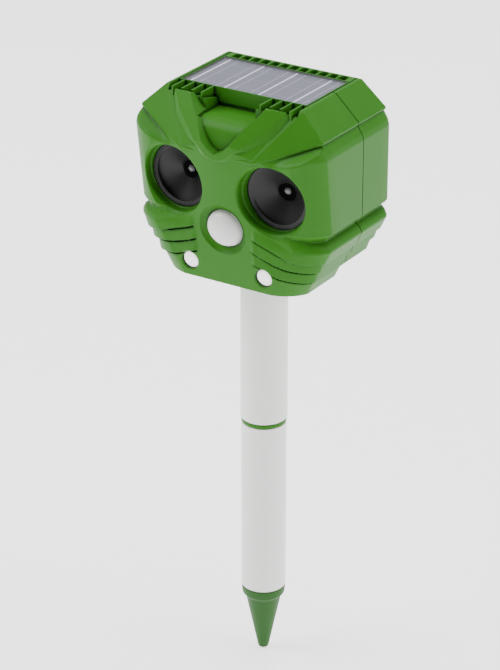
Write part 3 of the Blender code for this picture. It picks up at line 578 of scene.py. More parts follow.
def right_half(half, front, back, columns):
    """Half of one row, from the middle of the face round to the middle of the back."""
    wide, deep = CORNER
    flat = half - wide
    points = [(flat * i / columns, front) for i in range(columns)]
    points += curve((flat, front), (flat + 0.74 * wide, front + 0.22 * deep), (half, front + deep), 18)
    points += [(half, front + deep + i * (back - REAR_CORNER - front - deep) / 8) for i in range(8)]
    bend = 0.16 * REAR_CORNER
    points += curve((half, back - REAR_CORNER), (half - bend, back - bend), (half - REAR_CORNER, back), 6)
    points += [(x, back) for x in np.linspace(half - REAR_CORNER, 0.0, 7)]
    return points


# %% Lines and cove of the face
RIB_LINES = [
    [(19.0, 34.6), (25.0, 32.2), (32.4, 29.8), (45.0, 25.2), (58.0, 23.3)],
    [(17.8, 27.0), (24.0, 24.0), (33.9, 21.0), (47.0, 18.6), (56.0, 16.7)],
    [(17.9, 18.6), (23.5, 16.8), (32.1, 13.5), (43.0, 11.3), (52.0, 9.2)],
]
FOLD_LINE = [(33.0, 41.0), (42.0, 40.0), (56.0, 37.6), (64.0, 37.2)]
RIB_PROUD = 1.5
RIB_CUT, RIB_CUT_BELOW, RIB_CUT_WIDE = 1.1, 0.8, 0.45
RIB_FADE, RIB_LEAD, RIB_SOFT = 3.0, 0.35, 0.4
FOLD_DEEP, FOLD_FADE, FOLD_WIDE = 1.1, 10.0, 1.6
RIB_RISE = 6.6
BROW = [(0.0, 81.6), (22.6, 81.6), (33.7, 84.9), (43.4, 89.4), (53.2, 93.5), (60.6, 98.2), (70.0, 102.0)]


def along_line(line, x):
    return float(np.interp(x, [p[0] for p in line], [p[1] for p in line]))


def ease(t):
    t = min(max(t, 0.0), 1.0)
    return t * t * (3 - 2 * t)


def facet_y(x, z):
    """The hood's leaning front facets, which meet in a ridge at the middle."""
    return -42.37 + 0.2171 * x + 0.5086 * (z - TOP)


def rib_relief(x, up):
    """How far the clapboard lines stand out of the face."""
    proud = 0.0
    for line in RIB_LINES:
        over = up - along_line(line, x)
        fade = ease((x - line[0][0]) / RIB_FADE)
        proud -= RIB_CUT * fade * math.exp(-((over + RIB_CUT_BELOW) / RIB_CUT_WIDE) ** 2)
        if -RIB_LEAD < over < RIB_RISE:
            step = ease((over + RIB_LEAD) / RIB_SOFT)
            proud = max(proud, RIB_PROUD * fade * step * (1 - max(over, 0.0) / RIB_RISE))
    over = up - along_line(FOLD_LINE, x)
    groove = FOLD_DEEP * ease((x - FOLD_LINE[0][0]) / FOLD_FADE) * math.exp(-(over / FOLD_WIDE) ** 2)
    return proud - groove


FACE_BEND = 0.12
BEND_FROM, BEND_TO, BEND_SOFT = 7.0, 38.0, 6.0
BEND_FORWARD = 0.9
BEND_FOOT, BEND_RISE = 30.0, 14.0
COVE_SPREAD = 30.0


def bend_share(up):
    """0 on the chin, 1 from the middle of the sensor upwards."""
    return ease((up - BEND_FOOT) / BEND_RISE)


def bend_back(wide, up):
    """From the sensor upwards the face bends back a little on each side of its middle line."""
    run = min(wide, BEND_TO) - BEND_FROM
    soft = (run + math.hypot(run, BEND_SOFT)) / 2 - (math.hypot(BEND_FROM, BEND_SOFT) - BEND_FROM) / 2
    return (FACE_BEND * soft - BEND_FORWARD) * bend_share(up)


def shape_front(x, y, z):
    """Moves a point of the plain row onto the finished front."""
    wide, up = abs(x), z - BASE
    y += bend_back(wide, up) * min(1.0, (SEAM - y) / 40.0)
    y -= rib_relief(wide, up)
    brow = BASE + along_line(BROW, wide)
    tucked = 0.3 + 1.3 * ease((wide - 20.0) / COVE_SPREAD)
    need = max(0.0, facet_y(wide, max(z, brow)) + tucked - y)
    reach = 2.6 + 4.4 * ease((wide - 22.0) / COVE_SPREAD)
    return y + need * ease((z - brow + reach) / reach)


def shape_side(x, y, up, half):
    """Carries the face's lines round the corner and along the side."""
    corner = CORNER[0] if y < SEAM else REAR_CORNER
    share = ease((x - half + corner) / corner)
    return min(HALF, x + share * rib_relief(x, up))


# %% The case as one solid
ROW_STEP = 0.45
COLUMNS = 78


def case_rows():
    rows = sorted({up for up, _ in SIDE_PROFILE})
    for up in np.arange(0.0, SIDE_PROFILE[-1][0], ROW_STEP):
        if min(abs(up - known) for known in rows) > 0.25:
            rows.append(float(up))
    return sorted(rows)


def case_body(name, floor):
    sections = []
    for up in [floor - BASE] + [up for up in case_rows() if up > floor - BASE + 0.1]:
        z = BASE + up
        half = along_line(SIDE_PROFILE, up)
        right = right_half(half, face_y(z), back_y(z), COLUMNS)
        right = [(shape_side(x, y, up, half), shape_front(x, y, z) if y < SEAM else y) for x, y in right]
        left = [(-x, y) for x, y in reversed(right[1:-1])]
        sections.append([(x, y, z) for x, y in right + left])
    return stack(name, sections)


def hood():
    """The faceted cap, with its drooping brow over the face."""
    brow = [(x, facet_y(x, BASE + along_line(BROW, x)), BASE + along_line(BROW, x))
            for x in (22.6, 33.7, 43.4, 53.2, 60.6)]
    top = [(45.4, -32.5, TOP), (45.4, 32.3, TOP)]
    lip = [(61.3, -36.4, TOP - 15.4), (61.3, 34.3, TOP - 15.6), (54.3, BACK - 0.6, TOP - 15.6)]
    under = [(56.0, BACK - 3.0, TOP - 19.0), (56.0, -30.0, TOP - 17.0)]
    return rounded_hull("hood", both_sides(brow + top + lip + under), 1.3)


EMBLEM_PROUD = 1.8
EMBLEM_FRONT = span("front_shell")[0].y + 0.6
EMBLEM_FOOT = [(0.0, 344.0), (8.0, 346.0), (14.0, 349.5), (21.7, 355.0), (33.0, 362.5), (40.5, 376.0)]
EMBLEM_RIM = [(0.0, 346.8), (6.0, 348.6), (14.0, 356.0), (22.5, 363.0), (30.0, 368.5), (37.0, 377.6)]
EMBLEM_CREST = [(0.0, 351.4), (8.2, 357.5), (14.5, 366.0), (24.9, 378.0), (0.0, 378.0)]


def emblem():
    """The raised V between the brows: a sloped band round a flat-topped rim."""

    def front(x, z, proud):
        return (x, max(face_y(z) + bend_back(x, z - BASE), facet_y(x, z), EMBLEM_FRONT + proud) - proud, z)

    points = [front(x, z, -1.2) for x, z in EMBLEM_FOOT]
    points += [front(x, z, EMBLEM_PROUD) for x, z in EMBLEM_RIM + EMBLEM_CREST]
    points += [(x, -25.0, z) for x, z in EMBLEM_FOOT]
    return rounded_hull("emblem", both_sides(points), 0.45)


SCOOP_MOUTH = [(0.0, 350.6), (4.8, 353.0), (9.0, 357.4), (15.8, 366.0), (22.6, 373.0), (26.6, 378.0),
               (28.0, 384.0)]
SCOOP_FLOOR = [(0.0, 352.2), (3.2, 353.6), (6.2, 357.6), (12.6, 366.0), (19.8, 372.6), (24.0, 377.6),
               (25.6, 384.0)]
SCOOP_LINE = [(-48.6, 349.0), (-48.4, 351.0), (-47.9, 354.0), (-47.4, 357.0), (-46.6, 361.0), (-45.7, 363.2),
              (-44.0, 365.4), (-42.2, 366.7), (-39.6, 367.5), (-36.0, 367.7)]
POCKET_HALF = 16.5


def scoop_cutters():
    """The hollow inside the V, and the finger pocket behind it."""

    def outline(rim, y):
        left = [(-x, z) for x, z in reversed(rim[1:])]
        return [(x, y, z) for x, z in rim + left]

    wedge = stack("wedge", [outline(SCOOP_MOUTH, -62.0), outline(SCOOP_MOUTH, -52.5),
                            outline(SCOOP_FLOOR, -36.0)])
    profile = [(-70.0, 349.0), *SCOOP_LINE, (-36.0, TOP + 4.0), (-70.0, TOP + 4.0)]
    carve(wedge, [along_x(profile, -50.0, 50.0)], "INTERSECT")
    low = (-POCKET_HALF, -46.0, SCOOP_LINE[-1][1])
    high = (POCKET_HALF, span("solar_panel")[0].y - 0.2, TOP + 4.0)
    lift = [(-46.0, 371.0), (-46.0, TOP + 4.0), (high[1], TOP + 4.0), (high[1], low[2]), (-39.6, 367.5),
            (-42.2, 366.7), (-44.0, 366.4)]
    return wedge, along_x(lift, low[0], high[0])


print(f"{len(case_rows())} rows of {4 * COLUMNS} or so points make the case")

# %% [markdown]
# ## Seats in the case
# Every hole in the face has its own moulded rim: the speaker wells roll over at the edge and step in half
# way down, the sensor sits in a shallow dish, and the lamps have a small lip. One turned cutter makes each,
# leaned to the face's slope so its depth is the same all round.

# %% Seats in the face


def middle(node):
    """The middle of a node's box, in millimetres."""
    low, high = span(node)
    return (low + high) / 2


SPEAKER_X, SPEAKER_Z = middle("speaker_horn_right").x, middle("speaker_horn_right").z
SENSOR_Z = middle("pir_lens").z
LAMP_X, LAMP_Z = middle("lamp_lens_right").x, middle("lamp_lens_right").z
SPEAKER_WELL = [(23.4, -1.2), (22.2, -0.2), (21.4, 0.3), (20.9, 1.0), (20.7, 1.8), (20.6, 5.0), (20.0, 5.4),
                (19.8, 6.0), (19.8, 12.6)]
SENSOR_DISH = [(17.0, -0.8), (16.1, 0.0), (15.6, 0.4), (15.2, 1.0), (14.2, 2.0), (13.0, 2.7), (12.2, 3.0),
               (11.9, 3.2), (11.8, 4.9)]
LAMP_WELL = [(7.2, -0.7), (6.4, -0.05), (5.9, 0.2), (5.6, 0.6), (5.5, 3.4)]


def on_face(name, profile, x, z, steps=96):
    """A turned piece that sits in the face at (x, z), slid so that it follows the face's two slopes."""
    bend = 0.0
    if abs(x) > BEND_FROM:
        bend = math.copysign(FACE_BEND, x) * bend_share(z - BASE)
    obj = turned(name, profile, (x, face_y(z) + bend_back(abs(x), z - BASE), z), steps=steps)
    for vertex in obj.data.vertices:
        vertex.co.y += bend * (vertex.co.x - x) - FACE_LEAN * (vertex.co.z - z)
    return obj


def well(x, z, rim, steps=96):
    profile = [(0, -40), (rim[0][0], -40), *rim, (0, rim[-1][1])]
    return on_face("well", profile, x, z, steps)


def bore(x, z, radius, y0, y1, steps=48):
    return turned("bore", [(0, y0), (radius, y0), (radius, y1), (0, y1)], (x, 0, z), steps=steps)


def face_seats():
    cutters = [well(0.0, SENSOR_Z, SENSOR_DISH), bore(0.0, SENSOR_Z, 9.9, -60, -20)]
    for sign in (-1, 1):
        cutters.append(well(sign * SPEAKER_X, SPEAKER_Z, SPEAKER_WELL, 128))
        cutters.append(bore(sign * SPEAKER_X, SPEAKER_Z, 17.0, -60, -15))
        cutters.append(well(sign * LAMP_X, LAMP_Z, LAMP_WELL, 64))
        cutters.append(bore(sign * LAMP_X, LAMP_Z, 4.0, -60, -20))
    return cutters


# %% [markdown]
# The back carries the battery door, two dials, the power button and the charging port. Their seats come from
# the frame's boxes, each with the small working gap that lets the piece move. The hollow inside keeps a wall
# and leaves bosses and cups behind the seats.

# %% Seats in the back and the hollow
WALL = 2.2
DIALS = [middle(node) for node in ("frequency_dial", "sensitivity_dial")]
DIAL_R = (span("frequency_dial")[1].x - span("frequency_dial")[0].x) / 2
BUTTON = middle("power_button")
CASE_SCREWS = [middle(f"case_screw_{i}") for i in (1, 2, 3, 4)]
DOOR_SCREWS = [middle(f"door_screw_{i}") for i in (1, 2)]
DOOR_LOW, DOOR_HIGH = span("battery_door")
PORT_LOW, PORT_HIGH = span("port_cover")


def seat_block(low, high, margin, deep, lower=0.0):
    return block((low.x - margin, BACK - deep, low.z - margin - lower),
                 (high.x + margin, BACK + 4.0, high.z + margin))


def back_cup(x, z, radius, deep, steps=64):
    return bore(x, z, radius, BACK - deep, BACK + 5.0, steps)


def hollow():
    low_rows = [(2.2, HALF - 19.0), (23.0, HALF - 8.5), (34.0, HALF - 6.2), (80.0, HALF - 3.0)]
    rows = [(BASE + up, half) for up, half in low_rows]
    lower = stack("hollow", [
        [(x, y, z) for x, y in ((half - 18, face_y(z) + 4), (half, face_y(z) + 15), (half, back_y(z) - 7),
                                (half - 6, back_y(z) - WALL), (6 - half, back_y(z) - WALL),
                                (-half, back_y(z) - 7), (-half, face_y(z) + 15), (18 - half, face_y(z) + 4))]
        for z, half in rows
    ])
    upper = block((-52.0, -28.0, BASE + 78.0), (52.0, BACK - WALL, TOP - 13.5))
    carve(lower, [upper], "UNION")
    kept = [bore(0.0, SENSOR_Z, 17.5, -80, face_y(SENSOR_Z) + 7.1)]
    for sign in (-1, 1):
        kept.append(bore(sign * SPEAKER_X, SPEAKER_Z, 23.4, -80, face_y(SPEAKER_Z) + 20.0))
        kept.append(bore(sign * LAMP_X, LAMP_Z, 7.7, -80, face_y(LAMP_Z) + 5.6))
    for dial in DIALS:
        kept.append(back_cup(dial.x, dial.z, DIAL_R + 2.8, 7.4))
    kept.append(back_cup(BUTTON.x, BUTTON.z, 10.4, 4.6))
    kept.append(seat_block(PORT_LOW, PORT_HIGH, WALL, 4.3))
    kept.append(seat_block(DOOR_LOW, DOOR_HIGH, WALL, 4.7))
    kept += [bore(screw.x, screw.z, 4.2, SEAM - 14.0, 80, 32) for screw in CASE_SCREWS]
    kept.append(turned("collar", [(0, -50), (19.5, -50), (19.5, 6.2), (0, 6.2)], (0, 0, BASE), "Z"))
    return carve(lower, kept)


def back_seats():
    cutters = [seat_block(DOOR_LOW, DOOR_HIGH, GAP, 2.5), seat_block(DOOR_LOW, DOOR_HIGH, -5.6, 30.0)]
    for dial in DIALS:
        profile = [(0, -5.2), (DIAL_R + 0.6, -5.2), (DIAL_R + 0.6, -0.7), (DIAL_R + 1.2, 0.0),
                   (DIAL_R + 2.6, 1.0), (DIAL_R + 2.6, 9.0), (0, 9.0)]
        cutters.append(turned("dial_seat", profile, (dial.x, BACK, dial.z)))
    dish = [(0, -2.4), (6.6, -2.4), (7.6, -1.9), (8.2, -0.8), (8.9, 0.0), (10.0, 1.0), (10.0, 9.0), (0, 9.0)]
    cutters.append(turned("button_dish", dish, (BUTTON.x, BACK, BUTTON.z)))
    cutters.append(back_cup(BUTTON.x, BUTTON.z, 5.3, 15.0))
    cutters.append(seat_block(PORT_LOW, PORT_HIGH, GAP, 2.1, 0.9))
    cutters.append(block((PORT_LOW.x + 2.2, 18.0, BUTTON.z - 2.0), (PORT_HIGH.x - 2.2, 50.0, BUTTON.z + 2.0)))
    for screw in CASE_SCREWS:
        profile = [(0, -3.2), (3.1, -3.2), (3.1, -0.6), (3.7, 0.0), (4.7, 1.0), (4.7, 9.0), (0, 9.0)]
        cutters.append(turned("sink", profile, (screw.x, BACK, screw.z), steps=48))
    return cutters


# %% Deck of the panel
PANEL_LOW, PANEL_HIGH = span("solar_panel")
CARRIER_LOW, CARRIER_HIGH = span("panel_frame")
DECK_Z = CARRIER_LOW.z
FIN_FRONT, FIN_BACK = CARRIER_LOW.y, CARRIER_HIGH.y
RECESS_HALF = 43.2


def deck_cutter():
    """The tray for the panel and its fins, which gets shallower towards the front."""
    front, step = FIN_FRONT - GAP, PANEL_LOW.y - 1.4
    outline = [(front, TOP - 3.0), (step, DECK_Z + 2.7), (step, DECK_Z - GAP), (FIN_BACK + GAP, DECK_Z - GAP),
               (FIN_BACK + GAP, TOP + 4.0), (front, TOP + 4.0)]
    return along_x(outline, -RECESS_HALF, RECESS_HALF)


def whole_case(name, floor):
    case = carve(case_body(name, floor), [hood(), emblem()], "UNION")
    carve(case, [*scoop_cutters(), deck_cutter()])
    hole = turned("hole", [(0, -20), (17.4, -20), (17.4, 30), (0, 30)], (0, 0, BASE), "Z")
    return carve(case, [hollow(), hole])


SEAM_GAP = 0.3
REAR_FLOOR = 9.0
front_case = whole_case("front_casing", BASE)
rear_half = block((-200, SEAM - SEAM_GAP, 0), (200, 200, TOP + 100))
carve(front_case, [rear_half, *face_seats()])
finish_piece(front_case, CASE_GREEN, "head", ["front_shell"])

rear_case = whole_case("rear_casing", BASE + REAR_FLOOR)
front_half = block((-200, -200, 0), (200, SEAM + SEAM_GAP, TOP + 100))
carve(rear_case, [front_half, *back_seats()])
finish_piece(rear_case, CASE_GREEN, "head", ["rear_shell"])

# %% [markdown]
# ## Rows and rings of small features
# Fins, slots, knurls, grip lines and screw heads all repeat. Each of these trees makes one small shape and
# puts it on a row or a ring of points, and the result is kept as a plain mesh, either as a piece or as a
# cutter. The sizes are inputs of the tree, so the same tree serves several pieces.

# %% Geometry trees


def new_tree(name, inputs):
    """A geometry tree with one input for each (name, socket type), and its first and last nodes."""
    tree = bpy.data.node_groups.new(name, "GeometryNodeTree")
    tree.interface.new_socket("Geometry", in_out="INPUT", socket_type="NodeSocketGeometry")
    for title, kind in inputs:
        tree.interface.new_socket(title, in_out="INPUT", socket_type=kind)
    tree.interface.new_socket("Geometry", in_out="OUTPUT", socket_type="NodeSocketGeometry")
    nodes = Nodes(tree)
    return tree, nodes, nodes.add("NodeGroupInput").outputs


def end_tree(nodes, instances, material):
    real = nodes.add("GeometryNodeRealizeInstances", {}, {"Geometry": instances}).outputs[0]
    painted = nodes.add("GeometryNodeSetMaterial", {}, {"Geometry": real, "Material": material}).outputs[0]
    nodes.add("NodeGroupOutput", {}, {"Geometry": painted})


def grow(tree, name, values, points=((0.0, 0.0, 0.0),)):
    """Runs the tree on an object whose mesh is the points, and keeps the result as a plain mesh."""
    mesh = bpy.data.meshes.new(name)
    mesh.from_pydata([tuple(point) for point in points], [], [])
    obj = bpy.data.objects.new(name, mesh)
    bpy.context.scene.collection.objects.link(obj)
    modifier = obj.modifiers.new(name, "NODES")
    modifier.node_group = tree
    for item in tree.interface.items_tree:
        if item.in_out == "INPUT" and item.name in values:
            modifier[item.identifier] = values[item.name]
    return keep_result(obj)


FLOAT, VECTOR, WHOLE, PAINT = "NodeSocketFloat", "NodeSocketVector", "NodeSocketInt", "NodeSocketMaterial"


def row_tree():
    """Plain bars in a row along X."""
    inputs = [("Count", WHOLE), ("Pitch", FLOAT), ("First", VECTOR), ("Size", VECTOR), ("Paint", PAINT)]
    tree, nodes, given = new_tree("row_of_bars", inputs)
    step = nodes.add("ShaderNodeCombineXYZ", {}, {"X": given["Pitch"]}).outputs[0]
    line = nodes.add("GeometryNodeMeshLine", {"mode": "OFFSET"},
                     {"Count": given["Count"], "Start Location": given["First"], "Offset": step}).outputs[0]
    bar = nodes.add("GeometryNodeMeshCube", {}, {"Size": given["Size"]}).outputs[0]
    copies = nodes.add("GeometryNodeInstanceOnPoints", {}, {"Points": line, "Instance": bar}).outputs[0]
    end_tree(nodes, copies, given["Paint"])
    return tree


def slot_tree():
    """Slots in a row along X, each with a half-round rear end."""
    inputs = [("Count", WHOLE), ("Pitch", FLOAT), ("First", VECTOR), ("Width", FLOAT), ("Length", FLOAT),
              ("Height", FLOAT), ("Paint", PAINT)]
    tree, nodes, given = new_tree("row_of_slots", inputs)
    step = nodes.add("ShaderNodeCombineXYZ", {}, {"X": given["Pitch"]}).outputs[0]
    line = nodes.add("GeometryNodeMeshLine", {"mode": "OFFSET"},
                     {"Count": given["Count"], "Start Location": given["First"], "Offset": step}).outputs[0]
    half = Value(nodes, given["Width"]) * 0.5
    end = nodes.add("GeometryNodeMeshCylinder", {},
                    {"Vertices": 24, "Radius": half, "Depth": given["Height"]})
    size = nodes.add("ShaderNodeCombineXYZ", {},
                     {"X": given["Width"], "Y": given["Length"], "Z": given["Height"]}).outputs[0]
    back = nodes.add("ShaderNodeCombineXYZ", {}, {"Y": Value(nodes, given["Length"]) * -0.5}).outputs[0]
    run = nodes.add("GeometryNodeMeshCube", {}, {"Size": size}).outputs[0]
    placed = nodes.add("GeometryNodeTransform", {}, {"Geometry": run, "Translation": back}).outputs[0]
    both = nodes.add("GeometryNodeJoinGeometry")
    nodes.tree.links.new(end.outputs[0], both.inputs[0])
    nodes.tree.links.new(placed, both.inputs[0])
    hull = nodes.add("GeometryNodeConvexHull", {}, {"Geometry": both.outputs[0]}).outputs[0]
    copies = nodes.add("GeometryNodeInstanceOnPoints", {}, {"Points": line, "Instance": hull}).outputs[0]
    end_tree(nodes, copies, given["Paint"])
    return tree


def ring_tree():
    """Bars on a ring round each given point, about the Y axis, spread over the sweep."""
    inputs = [("Count", WHOLE), ("Radius", FLOAT), ("Sweep", FLOAT), ("Start", FLOAT), ("Size", VECTOR),
              ("Paint", PAINT)]
    tree, nodes, given = new_tree("ring_of_bars", inputs)
    index = nodes.value("GeometryNodeInputIndex", "Index")
    share = nodes.value("ShaderNodeMath", "Value", {"operation": "DIVIDE"},
                        {0: given["Sweep"], 1: given["Count"]})
    turn = index * share + Value(nodes, given["Start"])
    radius = Value(nodes, given["Radius"])
    across = nodes.value("ShaderNodeMath", "Value", {"operation": "SINE"}, {0: turn}) * radius
    up = nodes.value("ShaderNodeMath", "Value", {"operation": "COSINE"}, {0: turn}) * radius
    spot = nodes.add("ShaderNodeCombineXYZ", {}, {"X": across, "Z": up}).outputs[0]
    line = nodes.add("GeometryNodeMeshLine", {"mode": "OFFSET"}, {"Count": given["Count"]}).outputs[0]
    ring = nodes.add("GeometryNodeSetPosition", {}, {"Geometry": line, "Position": spot}).outputs[0]
    bar = nodes.add("GeometryNodeMeshCube", {}, {"Size": given["Size"]}).outputs[0]
    tilt = nodes.add("ShaderNodeCombineXYZ", {}, {"Y": turn}).outputs[0]
    bars = nodes.add("GeometryNodeInstanceOnPoints", {},
                     {"Points": ring, "Instance": bar, "Rotation": tilt}).outputs[0]
    whole = nodes.add("GeometryNodeRealizeInstances", {}, {"Geometry": bars}).outputs[0]
    copies = nodes.add("GeometryNodeInstanceOnPoints", {},
                       {"Points": given["Geometry"], "Instance": whole}).outputs[0]
    end_tree(nodes, copies, given["Paint"])
    return tree


def screw_tree():
    """A pan head with a cross recess on each given point, facing the back."""
    inputs = [("Radius", FLOAT), ("Height", FLOAT), ("Paint", PAINT)]
    tree, nodes, given = new_tree("cross_head_screws", inputs)
    radius, height = Value(nodes, given["Radius"]), Value(nodes, given["Height"])
    head = nodes.add("GeometryNodeMeshCone", {}, {"Vertices": 32, "Radius Top": radius * 0.78,
                                                  "Radius Bottom": radius, "Depth": height}).outputs[0]
    cuts = []
    for wide, deep in ((0.26, 1.15), (1.15, 0.26)):
        size = nodes.add("ShaderNodeCombineXYZ", {}, {"X": radius * wide, "Y": radius * deep, "Z": height})
        bar = nodes.add("GeometryNodeMeshCube", {}, {"Size": size.outputs[0]}).outputs[0]
        lift = nodes.add("ShaderNodeCombineXYZ", {}, {"Z": height * 0.95}).outputs[0]
        cuts.append(nodes.add("GeometryNodeTransform", {}, {"Geometry": bar, "Translation": lift}).outputs[0])
    crossed = nodes.add("GeometryNodeMeshBoolean", {"operation": "DIFFERENCE"}, {"Mesh 1": head})
    for cutter in cuts:
        nodes.tree.links.new(cutter, crossed.inputs["Mesh 2"])
    facing = nodes.add("GeometryNodeTransform", {}, {"Geometry": crossed.outputs[0]})
    facing.inputs["Rotation"].default_value = (-math.pi / 2, 0.0, 0.0)
    copies = nodes.add("GeometryNodeInstanceOnPoints", {},
                       {"Points": given["Geometry"], "Instance": facing.outputs[0]}).outputs[0]
    end_tree(nodes, copies, given["Paint"])
    return tree


ROW, SLOTS, RING, SCREWS = row_tree(), slot_tree(), ring_tree(), screw_tree()
print("row, slot, ring and screw trees are ready")

# %% [markdown]
# ## Solar panel and its carrier
# The panel lies in a thin bezel, with upright fins before and behind it. Behind it the gaps are slots with
# round ends, cut from a solid bar, and in front the fins stand on the sloping deck.

# %% Carrier with fins
FIN_T = 1.2
FIN_PITCH = 6.55
FIN_COUNT = 13
BEZEL = 1.1
FIN_TOP = TOP - 0.1


def carrier():
    half = PANEL_HIGH.x + BEZEL
    front, back = PANEL_LOW.y - BEZEL, PANEL_HIGH.y + BEZEL
    frame_bar = block((-half, front, DECK_Z), (half, back, TOP))
    seat = block((-half + BEZEL - GAP, front + BEZEL - GAP, PANEL_LOW.z - GAP),
                 (half - BEZEL + GAP, back - BEZEL + GAP, TOP + 4))
    carve(frame_bar, [seat])
    rear_bar = block((-half, back - 0.4, DECK_Z), (half, FIN_BACK, FIN_TOP))
    width = FIN_PITCH - FIN_T
    first = (-(FIN_COUNT - 2) / 2 * FIN_PITCH, FIN_BACK - 1.3 - width / 2, TOP - 1.0)
    values = {"Count": FIN_COUNT - 1, "Pitch": FIN_PITCH, "First": first, "Width": width, "Length": 8.4,
              "Height": 13.0}
    carve(rear_bar, [grow(SLOTS, "rear_slots", values)])
    carve(frame_bar, [rear_bar], "UNION")
    reach = front - FIN_FRONT + 0.6
    beyond = int(POCKET_HALF // FIN_PITCH + 1)
    for sign in (-1, 1):
        start = sign * beyond * FIN_PITCH if sign > 0 else -(FIN_COUNT - 1) / 2 * FIN_PITCH
        values = {"Count": FIN_COUNT // 2 + 1 - beyond, "Pitch": FIN_PITCH, "Size": (FIN_T, reach, 6.0),
                  "First": (start, FIN_FRONT + reach / 2, FIN_TOP - 3.0)}
        carve(frame_bar, [grow(ROW, "front_fins", values)], "UNION")
    return frame_bar


panel_carrier = carrier()
panel_carrier.name = "panel_carrier"
finish_piece(panel_carrier, CASE_GREEN, "head", ["panel_frame"])

# %% Cells and window


def rounded_plate(name, node, radius):
    """A plate with rounded edges that fills a node's box."""
    low, high = span(node)
    corners = [(x, y, z) for x in (low.x, high.x) for y in (low.y, high.y) for z in (low.z, high.z)]
    return rounded_hull(name, corners, radius)


cells = rounded_plate("cell_plate", "solar_panel", 0.2)
finish_piece(cells, CELLS, "head", ["solar_panel"])
glass = rounded_plate("clear_cover", "panel_window", 0.3)
finish_piece(glass, WINDOW, "head", ["panel_window"])

# %% [markdown]
# ## Speakers, sensor dome and lamps
# Each horn is a shallow cone with a rolled edge that narrows to a deep throat, and the small plug in the
# throat spreads the sound. They are turned like the seats they sit in, on the same two slopes of the face.

# %% Horns and plugs
HORN_DEPTH = 9.5
HORN_PROFILE = [(19.6, 0.3), (19.6, 1.9), (7.2, 10.2), (7.2, 11.6), (5.3, 11.6), (5.3, 9.4), (5.6, 8.9),
                (6.2, 8.4), (7.4, 7.6), (18.9, 0.2), (19.3, 0.1)]
PLUG_PROFILE = [(0, 8.2), (1.0, 8.4), (1.8, 9.1), (2.3, 10.2), (2.4, 11.5), (0, 11.5)]


def deeper(profile, depth):
    return [(radius, along + depth) for radius, along in profile]


for side, sign in (("left", -1), ("right", 1)):
    horn = on_face(f"horn_{side}", deeper(HORN_PROFILE, HORN_DEPTH), sign * SPEAKER_X, SPEAKER_Z, 128)
    finish_piece(horn, HORN_GREY, "head", [f"speaker_horn_{side}"], 60.0)
    plug = on_face(f"plug_{side}", deeper(PLUG_PROFILE, HORN_DEPTH), sign * SPEAKER_X, SPEAKER_Z, 48)
    finish_piece(plug, PLUG_GREY, "head", [f"phase_plug_{side}"], 60.0)

# %% Sensor dome and lamp lenses
DOME_R, DOME_H, DOME_WALL = 11.2, 7.2, 1.0


def dome_profile():
    steps = 20
    angles = [math.pi / 2 * i / steps for i in range(steps + 1)]
    outside = [(DOME_R * math.sin(a), -DOME_H * math.cos(a)) for a in angles]
    inside = [(r * (1 - DOME_WALL / DOME_R), y * (1 - DOME_WALL / DOME_H)) for r, y in reversed(outside)]
    rim = [(11.5, 0.2), (11.5, 1.3), (DOME_R - DOME_WALL, 1.3)]
    return deeper(outside + rim + inside, 3.3)


dome = on_face("sensor_dome", dome_profile(), 0.0, SENSOR_Z, 96)
finish_piece(dome, PEARL, "head", ["pir_lens"], 60.0)
LAMP_PROFILE = [(0, 0.9), (2.4, 1.0), (4.0, 1.2), (4.8, 1.5), (5.2, 2.0), (5.2, 3.1), (0, 3.1)]
for side, sign in (("left", -1), ("right", 1)):
    lens = on_face(f"lamp_cap_{side}", LAMP_PROFILE, sign * LAMP_X, LAMP_Z, 64)
    finish_piece(lens, LAMP_WHITE, "head", [f"lamp_lens_{side}"], 60.0)

# %% [markdown]
# ## Pole and spike
# The pole is two plain white tubes with softened ends, a green ring between them and a blunt green spike.
# Every one of them is a turned profile about the pole's axis, with its ends taken from the frame.

# %% Tubes, ring and spike


def pole_tube(name, node, body):
    low, high = span(node)
    radius, wall, soft = high.x, 1.5, 0.35
    profile = [(radius - soft, low.z), (radius, low.z + soft), (radius, high.z - soft),
               (radius - soft, high.z), (radius - wall, high.z), (radius - wall, low.z)]
    tube = turned(name, profile, (0, 0, 0), "Z", 128)
    return finish_piece(tube, TUBE_WHITE, body, [node], 50.0)


pole_tube("upper_pole_tube", "upper_tube", "upper_pole")
pole_tube("lower_pole_tube", "lower_tube", "lower_pole")
LOW_TUBE_TOP = span("lower_tube")[1].z + GAP
UP_TUBE_FOOT = span("upper_tube")[0].z - GAP
RING_LOW, RING_HIGH = span("joint_ring")
ring_r, sleeve_low, sleeve_high = RING_HIGH.x, 12.0, 12.4
ring_profile = [
    (10.4, RING_LOW.z), (sleeve_low, RING_LOW.z), (sleeve_low, LOW_TUBE_TOP), (ring_r - 0.3, LOW_TUBE_TOP),
    (ring_r, LOW_TUBE_TOP + 0.3), (ring_r, UP_TUBE_FOOT - 0.3), (ring_r - 0.3, UP_TUBE_FOOT),
    (sleeve_high, UP_TUBE_FOOT), (sleeve_high, RING_HIGH.z), (10.4, RING_HIGH.z),
]
collar_ring = turned("collar_ring", ring_profile, (0, 0, 0), "Z", 128)
finish_piece(collar_ring, CASE_GREEN, "coupler", ["joint_ring"], 50.0)

